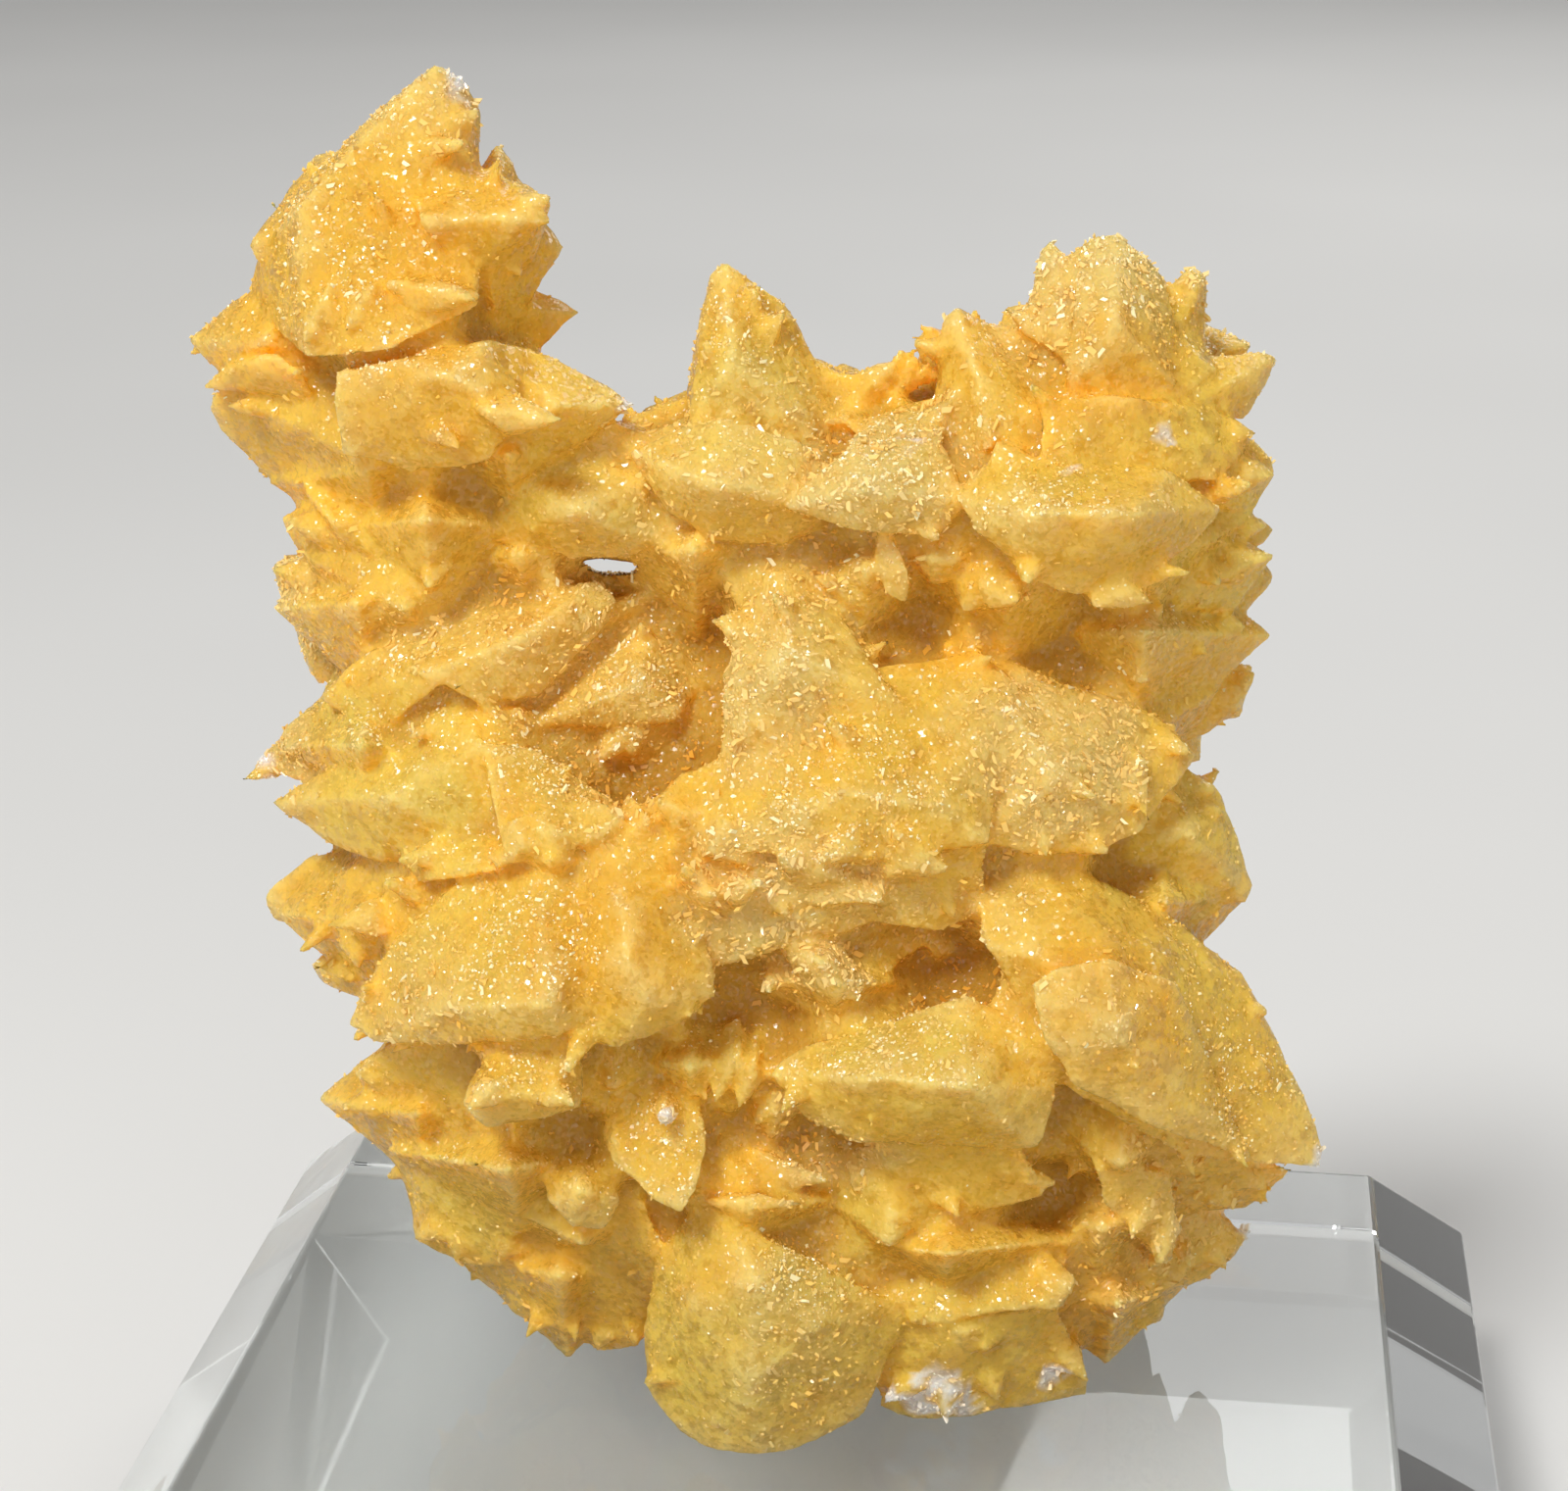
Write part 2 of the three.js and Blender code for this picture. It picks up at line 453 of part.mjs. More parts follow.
// The tower at the upper right, from its top down.
const rightTower = [
  body(3.5, [
    [6.6, 20.6, 1.5], [7.2, 21.1, 1.5], [8.4, 21.3, 2], [9.4, 19, 3.5], [7.7, 18.2, 2.5],
  ]),
  body(4.5, [
    [8.8, 22.4, 4.5], [8.3, 21.8, 4.5], [7.7, 17.9, 4.5], [8, 15.4, 6], [10.5, 15, 8], [13, 17, 7],
    [11, 21.4, 3.5], [9.8, 19, 7],
  ]),
  body(3.5, [
    [11.2, 22.3, 2.5], [12, 22.6, 2.5], [12.8, 22.6, 3], [12.8, 19, 5], [10.4, 19.6, 4],
  ]),
  body(4, [
    [13.6, 25.8, 3.5], [13.1, 25.2, 3.5], [12, 21, 4.5], [14.6, 19.5, 6.5], [15, 23.5, 4.5],
    [14.4, 25, 3.8],
  ]),
  body(6.5, [
    [14.8, 25.2, 3.5], [15.8, 25.9, 3.5], [17, 26.1, 3.5], [19.4, 24, 3.5], [20.2, 21, 4.5],
    [20, 18.3, 6], [14.5, 18, 7], [14.8, 22.5, 6], [17, 21.5, 7.5],
  ]),
  body(4, [
    [20.8, 24.4, 2], [21.5, 24, 2], [21.6, 22.5, 2], [21.2, 19.6, 2.5], [18.8, 19.6, 5],
    [19.2, 23, 3],
  ]),
  body(4, [
    [25.3, 19.8, 2], [24.5, 20.1, 2], [21.2, 19.8, 3], [19.6, 17, 6], [23.5, 16.6, 3],
    [24.5, 18.2, 2.5], [22.5, 18.4, 4.5],
  ]),
  body(5.5, [
    [13, 17.6, 8], [18, 17.8, 7.5], [22, 17.2, 5], [23.9, 15.6, 3.5], [22, 13.4, 6.5],
    [13, 14, 9.4],
  ]),
  body(4.5, [
    [25.1, 13.8, 2.5], [24.8, 14.6, 2.5], [23.8, 15.6, 3], [21, 14.6, 6], [21, 12.3, 6],
    [23.8, 11.9, 3],
  ]),
  body(3.5, [
    [24.9, 11, -1], [24.3, 11.7, -1], [22, 11.8, 1], [22, 9.6, 1], [24.4, 10.2, -0.5],
  ]),
  body(4.5, [
    [25.1, 9.7, 2], [23.8, 10.3, 2.5], [20.6, 10.8, 4.5], [20, 7, 5], [22.8, 6.8, 3],
    [22.5, 9, 4.2],
  ]),
  body(3.5, [
    [23.6, 6.5, 0.5], [23.2, 6.8, 0.5], [20.6, 6.8, 2], [20.6, 4.8, 2], [23, 5, 1],
  ]),
  body(4, [
    [24, 4.1, -1], [22.4, 4.3, -0.5], [20.4, 3, 1], [20.2, 0, 0.6], [22.2, 1, -0.5], [23.4, 2, -1],
  ]),
  body(8.5, [
    [8.8, 12.7, 9.5], [9.8, 11, 10], [11.5, 10, 10.5], [13, 8.3, 10], [15, 7.7, 9.5], [18, 8.3, 9],
    [20.5, 9.8, 8], [22.4, 12.2, 7], [19.8, 14, 8], [15, 14.5, 9], [11, 14.8, 8.5],
    [9.5, 13.8, 8.8], [13, 11.8, 12.2], [18, 11.8, 11.8],
  ]),
];

// The core, from the left tower down to the foot and up to the right tower:
// each lump's middle, its half width, half height and half depth, and how many crystals its back bears.
const coreLumps = [
  [[-20.8, 25, 0], 6, 6, 7, 2],
  [[-20, 17, -1], 7.2, 6, 8.4, 2],
  [[-18.5, 9.5, -2], 6, 5.6, 9, 2],
  [[-18.6, 1.4, -2], 6.4, 6.2, 10.6, 3],
  [[-16.6, -6.6, -3], 7, 6.6, 13, 2],
  [[-10, 12.8, 0], 5, 3, 6.4, 2],
  [[-2.6, 13, -1], 6, 5, 8.4, 2],
  [[-7, 3, -10], 8.4, 8.6, 6.4, 2],
  [[2.6, 6, -2], 6, 6.6, 10.4, 2],
  [[9, 13.6, -1], 6, 5, 8.4, 2],
  [[16.4, 18.6, 0], 6.4, 5.4, 8.2, 2],
  [[17, 11.2, -2], 6.4, 6, 11, 3],
  [[16.4, 3, -4], 6.2, 6.6, 11.4, 2],
  [[8, 0, -3], 9, 7, 13, 3],
  [[4, -8, -4], 10, 7.6, 15.6, 3],
  [[-8, -12, -4], 10, 8, 15.4, 3],
  [[15, -8, -4], 7.6, 7, 13.6, 2],
  [[16, -16.6, -2], 8.2, 7.2, 14, 3],
  [[5, -19, -4], 9.6, 8.4, 15.6, 3],
  [[-9.6, -20.4, -3], 8.4, 6.6, 14, 2],
  [[-0.6, -27.4, -1], 8.4, 6.6, 12, 2],
  [[9.6, -26, -2], 8, 6.4, 11.6, 2],
];
const core = coreLumps.map(([middle, halfWide, halfHigh, halfDeep]) =>
  lump(middle, [halfWide, halfHigh, halfDeep], 20),
);

// What fills the hollows between the crystals, so that they look grown together:
// each eight-sided lump's middle, and its half width, half height and half depth before it is stretched.
const infillStretch = 1.2; // to fill as much as a round lump of that size
const infill = [
  [[-21.5, 22.5, 0.6], 5.6, 3, 6],
  [[-14.6, 25.4, 2.6], 2.6, 4, 4],
  [[-13.6, 14.4, 3.4], 3.4, 2.4, 4.4],
  [[-20.4, 13.4, 0.4], 4.8, 4, 5.6],
  [[-17.6, 11, 1.8], 5.4, 4.6, 5.4],
  [[-21, 7, 0.4], 4, 4.4, 5],
  [[-13, 9.4, 1], 4, 3, 4.6],
  [[-20.6, 0, 1.6], 4.6, 4.8, 5.6],
  [[-20.4, -8.6, 1.8], 4.4, 4.8, 5.6],
  [[-11.4, -5.6, 5.6], 5, 3.4, 6],
  [[-3.6, -7.2, 6.2], 6.4, 3.8, 6.6],
  [[2.6, -11.6, 4.8], 6, 4.6, 7.6],
  [[-4.6, -15.6, 5], 5.4, 5.2, 6.6],
  [[-18, -18, 1.4], 4.6, 4.6, 6.4],
  [[-13.4, -20.6, 4.8], 5.4, 4, 6.4],
  [[-11, -26, 1.4], 5, 4.4, 5.6],
  [[-1.6, -22.6, 5], 7, 4.4, 5.6],
  [[8, -24.8, 5], 8, 3.8, 6],
  [[15.6, -23.6, 2.4], 6, 4.4, 6],
  [[16.4, -27.4, 1], 4, 3.4, 5],
  [[9, -15, 4.6], 6, 5, 7],
  [[9.6, -8, 2], 4.6, 4, 7.4],
  [[18.6, -7.6, 0], 4.4, 4.4, 6],
  [[-4.4, 9.6, 1.4], 4.6, 3.8, 5.4],
  [[4, 8.6, 2], 4.8, 5, 5.4],
  [[11, 8, 2.4], 6, 4.8, 6],
  [[17.6, 5.6, 1], 5.4, 5, 6],
  [[-8, -1.6, -1.6], 5.6, 3.6, 5],
  [[3, 16, 0.6], 6, 3, 5],
  [[21, 8.6, 0], 3, 4.6, 5],
  [[-4, 3.5, -1.5], 3.2, 4.4, 3.8],
].map(([middle, ...halfSizes]) =>
  lump(middle, halfSizes.map((half) => half * infillStretch), 8),
);

// The back, which bears crystals like the front's: they spread round each lump by the golden angle.
const goldenAngle = Math.PI * (3 - Math.sqrt(5));
const backSpread = 0.86; // how far round towards the sides they reach, over a quarter turn's sine
const backCrystalLength = 8;
const backCrystalHalfWide = 4.2;
const backSizeSpread = 0.3; // how much longer, shorter, wider or narrower one of them may be
const backRootDepth = 0.7; // where its root lies, from the lump's middle out to its skin
function crystalsBehind([middleSeen, halfWide, halfHigh, halfDeep, count]) {
  const middle = seen(middleSeen);
  return Array.from({ length: count }, (_, i) => {
    const outward = backSpread * Math.sqrt((i + 0.5) / count);
    const round = i * goldenAngle + Math.PI * 2 * random();
    const direction = new THREE.Vector3()
      .addScaledVector(acrossView, Math.cos(round) * outward * halfWide)
      .addScaledVector(upView, Math.sin(round) * outward * halfHigh)
      .addScaledVector(towardEye, -Math.sqrt(1 - outward ** 2) * halfDeep);
    const length = backCrystalLength * stray(backSizeSpread);
    const root = middle.clone().addScaledVector(direction, backRootDepth);
    const tip = root.clone().addScaledVector(direction.clone().normalize(), length);
    const halfSize = backCrystalHalfWide * stray(backSizeSpread);
    return crystalBetween(tip, root, halfSize, halfSize, sharpRidgeSpacing * random());
  });
}
const back = coreLumps.flatMap(crystalsBehind);

const everything = [
  ...core,
  ...infill,
  ...leftTower,
  ...leftFlank,
  ...lowerLeft,
  ...foot,
  ...lowerRight,
  ...middle,
  ...rightTower,
  ...back,
];

// Openings that the growth left: the slit that can be seen through, and the deep pocket at the lower right.
// Each narrows from its outline, in front of the specimen, to a floor or to beyond the back.
const clearInFront = 30;
const clearBehind = -40;
const pocketFloor = 3;
const pocketFloorScale = 0.7;
function opening(outline, farEnd, farScale) {
  const [midAcross, midUp] = [0, 1].map(
    (k) => outline.reduce((sum, p) => sum + p[k], 0) / outline.length,
  );
  const far = outline.map(([a, u]) => [
    midAcross + (a - midAcross) * farScale,
    midUp + (u - midUp) * farScale,
  ]);
  return solidAround([
    ...outline.map(([a, u]) => seen([a, u, clearInFront])),
    ...far.map(([a, u]) => seen([a, u, farEnd])),
  ]);
}
const seeThroughSlit = opening(
  [[-10.9, 9.4], [-9.4, 8.7], [-7.8, 8.7], [-7.2, 9.2], [-8, 9.5], [-9.6, 9.6]],
  clearBehind,
  1,
);
const deepPocket = opening(
  [[4.9, -11.4], [7.2, -9.5], [8.8, -11.4], [8.4, -12.9], [6.3, -13.8]],
  pocketFloor,
  pocketFloorScale,
);

// Everything under the glass's top is taken off, which leaves the small flats that the specimen stands on.
function belowFeet() {
  const size = 200; // wider and deeper than the specimen
  const slab = new THREE.BoxGeometry(size, size, size);
  slab.translate(0, 0, blockHigh + restGap - size / 2);
  const corners = slab.getAttribute("position");
  return solidAround(
    Array.from({ length: corners.count }, (_, i) =>
      new THREE.Vector3().fromBufferAttribute(corners, i),
    ),
  );
}

const grown = wasm.Manifold.union(everything)
  .subtract(seeThroughSlit)
  .subtract(deepPocket)
  .subtract(belowFeet());
const specimenSolid = grown
  .decompose()
  .reduce((largest, body) => (body.volume() > largest.volume() ? body : largest));

function geometryOf(solid) {
  const mesh = solid.getMesh();
  const geometry = new THREE.BufferGeometry();
  const positions = new Float32Array(mesh.numVert * 3);
  for (let i = 0; i < mesh.numVert; i++) {
    positions.set(mesh.vertProperties.subarray(i * mesh.numProp, i * mesh.numProp + 3), i * 3);
  }
  geometry.setAttribute("position", new THREE.BufferAttribute(positions, 3));
  geometry.setIndex(new THREE.BufferAttribute(mesh.triVerts, 1));
  geometry.computeVertexNormals();
  return geometry;
}

// The glass block: flat top, sloping bevels on all four sides, upright sides and a fine chamfer at the foot.
function blockGeometry() {
  const outline = (inset, height) =>
    [[-1, -1], [1, -1], [1, 1], [-1, 1]].map(
      ([x, y]) =>
        new THREE.Vector3(x * (blockWide / 2 - inset), y * (blockDeep / 2 - inset), height),
    );
  return new ConvexGeometry([
    ...outline(blockFootChamfer, 0),
    ...outline(0, blockFootChamfer),
    ...outline(0, blockHigh - blockBevelDown),
    ...outline(blockBevelIn, blockHigh),
  ]);
}

const calcite = new THREE.MeshStandardMaterial({ color: 0xe9b13f, roughness: 0.45, metalness: 0 });
const glass = new THREE.MeshStandardMaterial({
  color: 0xdfe8e6,
  roughness: 0.03,
  metalness: 0,
  transparent: true,
  opacity: 0.35,
});

const specimen = new THREE.Mesh(geometryOf(specimenSolid), calcite);
specimen.name = "calcite_cluster";
const block = new THREE.Mesh(blockGeometry(), glass);
block.name = "glass_block";

const part = new THREE.Group();
part.add(block, specimen);

export default part;
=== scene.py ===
# Selenite on calcite: honey-yellow pointed crystals with a sugary crust, on a clear bevelled block.
# Metres in the part's own frame: +Z up, the front faces -Y, the origin is under the block's middle.
import math
import bpy
import numpy as np
from mathutils import Matrix, Vector
from mathutils.bvhtree import BVHTree


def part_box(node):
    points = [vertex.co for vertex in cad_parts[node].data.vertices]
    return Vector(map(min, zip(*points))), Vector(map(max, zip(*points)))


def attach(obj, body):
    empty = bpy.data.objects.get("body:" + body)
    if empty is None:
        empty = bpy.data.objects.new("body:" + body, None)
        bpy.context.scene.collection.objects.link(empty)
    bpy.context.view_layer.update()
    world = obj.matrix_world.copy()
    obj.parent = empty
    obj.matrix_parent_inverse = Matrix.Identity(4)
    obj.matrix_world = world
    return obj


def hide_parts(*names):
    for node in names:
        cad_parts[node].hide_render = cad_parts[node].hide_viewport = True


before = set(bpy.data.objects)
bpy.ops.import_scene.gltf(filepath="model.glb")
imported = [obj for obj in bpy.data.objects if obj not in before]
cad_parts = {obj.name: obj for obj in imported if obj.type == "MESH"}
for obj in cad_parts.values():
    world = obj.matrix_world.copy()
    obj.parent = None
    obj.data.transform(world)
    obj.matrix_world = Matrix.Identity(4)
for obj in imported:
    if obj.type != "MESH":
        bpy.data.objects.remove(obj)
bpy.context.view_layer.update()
mm = 0.001
print("frame loaded:", ", ".join(sorted(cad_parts)))

# The camera, where the photo was taken from.
eyeView = {
    "lookedAt": (-1.7 * mm, 5.9 * mm, 55.3 * mm),  # the middle of the picture
    "distance": 162 * mm,
    "azimuth": 7.5,  # degrees
    "elevation": 20,
    "lens": 72.9,
    "sensorWide": 36,
    "clip": (0.01, 10),  # metres
}


def viewDirections():
    # across the picture, up it, and from it towards the eye, each one unit long
    turn, lift = math.radians(eyeView["azimuth"]), math.radians(eyeView["elevation"])
    level = math.cos(lift)
    towardEye = np.array([math.sin(turn) * level, -math.cos(turn) * level, math.sin(lift)])
    across = np.array([math.cos(turn), math.sin(turn), 0.0])
    return across, np.cross(towardEye, across), towardEye


across, upView, towardEye = viewDirections()
lookedAt = np.array(eyeView["lookedAt"])
eye = lookedAt + towardEye * eyeView["distance"]
eyeLift = math.radians(eyeView["elevation"])
planeAway = eyeView["distance"] * math.cos(eyeLift)  # from the eye to the upright plane, on the level


def seenPoint(right, up, near):
    # the point seen that far right of and above the middle, lying that near in front of an upright
    # plane through it: the sight line from the eye, shortened by how much nearer than the plane it is
    shorter = (planeAway - near * mm) / (planeAway + up * mm * math.sin(eyeLift))
    return eye + (lookedAt + across * right * mm + upView * up * mm - eye) * shorter


def nearOf(place, right, up):
    # how near in mm the place lies that is seen there: seenPoint turned round
    share = np.linalg.norm(place - eye) / np.linalg.norm(seenPoint(right, up, 0) - eye)
    return planeAway * (1 - share) / mm


def makeCamera():
    # its own axes are across the picture, up it and back to the eye
    data = bpy.data.cameras.new("camera")
    data.lens = eyeView["lens"]
    data.sensor_width = eyeView["sensorWide"]
    data.clip_start, data.clip_end = eyeView["clip"]
    camera = bpy.data.objects.new("camera", data)
    bpy.context.scene.collection.objects.link(camera)
    turned = np.eye(4)
    turned[:3] = np.stack([across, upView, towardEye, eye], 1)
    camera.matrix_world = Matrix(turned.tolist())
    bpy.context.scene.camera = camera


makeCamera()
print("camera placed")


# Meshes as arrays.
def meshArrays(mesh):
    # places as rows of x, y and z, and triangles as rows of three corner numbers
    mesh.calc_loop_triangles()
    places = np.empty(len(mesh.vertices) * 3)
    mesh.vertices.foreach_get("co", places)
    triangles = np.empty(len(mesh.loop_triangles) * 3, np.int64)
    mesh.loop_triangles.foreach_get("vertices", triangles)
    return places.reshape(-1, 3), triangles.reshape(-1, 3)


def meshEdges(mesh):
    edges = np.empty(len(mesh.edges) * 2, np.int64)
    mesh.edges.foreach_get("vertices", edges)
    return edges.reshape(-1, 2)


def joinedArrays(parts):
    # several meshes as one: each one's corner numbers follow those of the meshes before it
    starts = np.cumsum([0] + [len(places) for places, _ in parts])
    faces = [triangles + start for (_, triangles), start in zip(parts, starts)]
    return np.concatenate([places for places, _ in parts]), np.concatenate(faces)


def triangleEdges(triangles):
    # each side once, as its two corner numbers, the lower one first
    pairs = np.sort(triangles[:, [0, 1, 1, 2, 2, 0]].reshape(-1, 2), axis=1)
    return np.unique(pairs, axis=0)


def unit(vectors):
    # each vector over its own length
    return vectors / np.maximum(np.linalg.norm(vectors, axis=-1, keepdims=True), 1e-12)


def gathered(index, values, count):
    # the values added up at each index, column by column
    return np.stack([np.bincount(index, values[:, k], count) for k in range(values.shape[1])], 1)


def pointNormals(places, triangles):
    # the sum of the cross products of the triangles that meet at each point, made one unit long
    a, b, c = (places[triangles[:, k]] for k in range(3))
    cross = np.cross(b - a, c - a)
    return unit(sum(gathered(triangles[:, k], cross, len(places)) for k in range(3)))


def neighbourMean(values, edges):
    # the mean of the values at the other ends of each point's edges
    count = len(values)
    first, second = edges.T
    total = gathered(first, values[second], count) + gathered(second, values[first], count)
    return total / np.maximum(np.bincount(edges.ravel(), minlength=count), 1)[:, None]


def addMesh(name, places, faces, material, attributes=None, smooth=True):
    # an attribute holds one number for each point
    mesh = bpy.data.meshes.new(name)
    mesh.from_pydata(places.tolist(), [], faces.tolist())
    for label, values in (attributes or {}).items():
        attribute = mesh.attributes.new(label, "FLOAT", "POINT")
        attribute.data.foreach_set("value", values.astype(np.float32))
    mesh.polygons.foreach_set("use_smooth", np.full(len(mesh.polygons), smooth))
    mesh.materials.append(material)
    mesh.update()
    piece = bpy.data.objects.new(name, mesh)
    bpy.context.scene.collection.objects.link(piece)
    return piece


def evaluatedMesh(piece):
    # what the piece's modifiers make of it
    bpy.context.view_layer.update()
    graph = bpy.context.evaluated_depsgraph_get()
    return bpy.data.meshes.new_from_object(piece.evaluated_get(graph))


# How a corner of the noise's lattice finds its value in a table: large numbers mix up its place.
lattice = {
    "values": 4096,
    "mixers": np.array([73856093, 19349663, 83492791]),
    "spreader": 2654435761,
    "folded": 7,  # how many bits down it is folded onto itself before it is spread
    "dropped": 9,  # how many of the lowest bits are left out after that
}


def smoothNoise(places, spacing, seed):
    # random values on a cubic lattice of that spacing, blended between corners by 3t^2 - 2t^3: -1 to 1
    values = np.random.default_rng(seed).uniform(-1, 1, lattice["values"])
    scaled = places / spacing
    cell = np.floor(scaled).astype(np.int64)
    share = scaled - cell
    share = share * share * (3 - 2 * share)
    total = np.zeros(len(places))
    for corner in np.ndindex(2, 2, 2):
        step = np.array(corner)
        key = (cell + step) * lattice["mixers"]
        key = key[:, 0] ^ key[:, 1] ^ key[:, 2]
        key = (key ^ (key >> lattice["folded"])) * lattice["spreader"]
        weight = np.prod(np.where(step, share, 1 - share), axis=1)
        total += weight * values[(key >> lattice["dropped"]) % lattice["values"]]
    return total


def smoothStep(values, low, high):
    # 0 up to low, 1 from high on, and 3t^2 - 2t^3 between them
    share = np.clip((values - low) / (high - low), 0, 1)
    return share * share * (3 - 2 * share)


# Colours and finishes.
def paint(red, green, blue):
    # screen values from 0 to 255 as the light that the shaders reckon in
    values = np.array([red, green, blue]) / 255
    linear = np.where(values <= 0.04045, values / 12.92, ((values + 0.055) / 1.055) ** 2.4)
    return (*linear, 1)


def newMaterial(name):
    material = bpy.data.materials.new(name)
    material.use_nodes = True
    nodes, links = material.node_tree.nodes, material.node_tree.links
    return material, nodes, links, nodes["Principled BSDF"]


def attributeNode(nodes, label):
    node = nodes.new("ShaderNodeAttribute")
    node.attribute_name = label
    return node.outputs["Fac"]


def noiseNode(nodes, links, perMetre, detail=3):
    place = nodes.new("ShaderNodeTexCoord")
    noise = nodes.new("ShaderNodeTexNoise")
    noise.inputs["Scale"].default_value = perMetre
    noise.inputs["Detail"].default_value = detail
    links.new(place.outputs["Object"], noise.inputs["Vector"])
    return noise.outputs["Fac"]


def mathNode(nodes, links, kind, *inputs):
    # each input is a number or a socket
    node = nodes.new("ShaderNodeMath")
    node.operation = kind
    for socket, value in zip(node.inputs, inputs):
        if isinstance(value, (int, float)):
            socket.default_value = value
        else:
            links.new(value, socket)
    return node.outputs["Value"]


def vectorNode(nodes, links, kind, first, second):
    # a fixed second vector or a socket
    node = nodes.new("ShaderNodeVectorMath")
    node.operation = kind
    links.new(first, node.inputs[0])
    if isinstance(second, tuple):
        node.inputs[1].default_value = second
    else:
        links.new(second, node.inputs[1])
    return node.outputs["Value" if kind == "DOT_PRODUCT" else "Vector"]


def facetHeight(nodes, links, perMetre, slope):
    # small flat facets: the skin is split into cells, and each cell's height is the distance from its
    # middle along a direction of its own, times the slope
    place = nodes.new("ShaderNodeTexCoord").outputs["Object"]
    cells = nodes.new("ShaderNodeTexVoronoi")
    cells.inputs["Scale"].default_value = perMetre
    links.new(place, cells.inputs["Vector"])
    offset = vectorNode(nodes, links, "SUBTRACT", place, cells.outputs["Position"])
    lean = vectorNode(nodes, links, "SUBTRACT", cells.outputs["Color"], (0.5, 0.5, 0.5))
    height = vectorNode(nodes, links, "DOT_PRODUCT", offset, lean)
    return mathNode(nodes, links, "MULTIPLY", height, 2 * slope)  # twice, as no lean is over a half


def bumpNode(nodes, links, height, shader):
    # the height is in metres
    bump = nodes.new("ShaderNodeBump")
    bump.inputs["Strength"].default_value = 1.0
    bump.inputs["Distance"].default_value = 1.0
    links.new(height, bump.inputs["Height"])
    links.new(bump.outputs["Normal"], shader.inputs["Normal"])


def rangeNode(nodes, links, value, before, after):
    # what lies between the two numbers before is stretched to lie between the two after
    node = nodes.new("ShaderNodeMapRange")
    for label, number in zip(("From Min", "From Max", "To Min", "To Max"), (*before, *after)):
        node.inputs[label].default_value = number
    links.new(value, node.inputs["Value"])
    return node.outputs["Result"]


def mixColour(nodes, links, share, first, second):
    # each colour is a fixed one or a socket
    node = nodes.new("ShaderNodeMix")
    node.data_type = "RGBA"
    links.new(share, node.inputs["Factor"])
    for label, colour in (("A", first), ("B", second)):
        socket = [s for s in node.inputs if s.name == label and s.type == "RGBA"][0]
        if isinstance(colour, tuple):
            socket.default_value = colour
        else:
            links.new(colour, socket)
    return [s for s in node.outputs if s.type == "RGBA"][0]


calciteFinish = {
    "honey": paint(236, 188, 70),
    "lemon": paint(228, 194, 82),
    # the crystal's own orange tone, also used as painted shade on undersides and in recesses
    "amberToneAndShade": paint(236, 176, 56),
    # painted shade, for hollows and creases
    "hollowShade": paint(196, 146, 54),
    # painted highlight, for ridges and for the grains painted white as glints
    "tips": paint(246, 218, 134),
    "sugar": paint(236, 196, 104),
    # painted white glints and highlights
    "paintedGlint": paint(250, 244, 232),
    "mottle": paint(222, 160, 52),
    "mottlePerMetre": 420,
    "mottled": ((0.45, 0.75), (0.0, 0.45)),  # where its noise sets in and is full, and how much it shows
    "translucence": 0.92,
    "scatter": (1.8 * mm, 0.95 * mm, 0.25 * mm),  # how far red, green and blue light wander inside
    "ior": 1.5,
    "mirroring": 0.4,  # under 0.5, because sugar breaks up what the faces would mirror
    "roughness": (0.1, 0.32),
    "cloudPerMetre": 900,
    "clouded": (0.3, 0.7),
    "facets": [(2400, 0.32), (5600, 0.42)],  # cells in a metre, and how steeply they lean
}


def crystalColour(nodes, links, finish):
    # honey turned by a mottle and by the tints that the mesh carries, one over another
    mottle = noiseNode(nodes, links, finish["mottlePerMetre"])
    layers = [
        (attributeNode(nodes, "lemon"), "lemon"),
        # own orange tone, and painted shade on undersides and in recesses
        (attributeNode(nodes, "amberToneAndShade"), "amberToneAndShade"),
        (rangeNode(nodes, links, mottle, *finish["mottled"]), "mottle"),
        (attributeNode(nodes, "sugar"), "sugar"),
        # painted shade in hollows and creases
        (attributeNode(nodes, "hollow"), "hollowShade"),
        # painted highlight on ridges, and the druse grains painted white as glints
        (attributeNode(nodes, "ridge"), "tips"),
        # painted white glint patches
        (attributeNode(nodes, "paintedGlint"), "paintedGlint"),
    ]
    colour = finish["honey"]
    for share, label in layers:
        colour = mixColour(nodes, links, share, colour, finish[label])
    return colour


def cloudedRoughness(nodes, links, finish, shader):
    # glossy and duller by turns
    cloud = noiseNode(nodes, links, finish["cloudPerMetre"], detail=2)
    roughness = rangeNode(nodes, links, cloud, finish["clouded"], finish["roughness"])
    links.new(roughness, shader.inputs["Roughness"])


def makeCalcite():
    material, nodes, links, shader = newMaterial("calcite honey")
    shader.subsurface_method = "BURLEY"
    links.new(crystalColour(nodes, links, calciteFinish), shader.inputs["Base Color"])
    shader.inputs["Subsurface Weight"].default_value = calciteFinish["translucence"]
    shader.inputs["Subsurface Radius"].default_value = calciteFinish["scatter"]
    shader.inputs["Subsurface Scale"].default_value = 1.0
    shader.inputs["IOR"].default_value = calciteFinish["ior"]
    shader.inputs["Specular IOR Level"].default_value = calciteFinish["mirroring"]
    cloudedRoughness(nodes, links, calciteFinish, shader)
    large, small = (facetHeight(nodes, links, *facet) for facet in calciteFinish["facets"])
    bumpNode(nodes, links, mathNode(nodes, links, "ADD", large, small), shader)
    return material


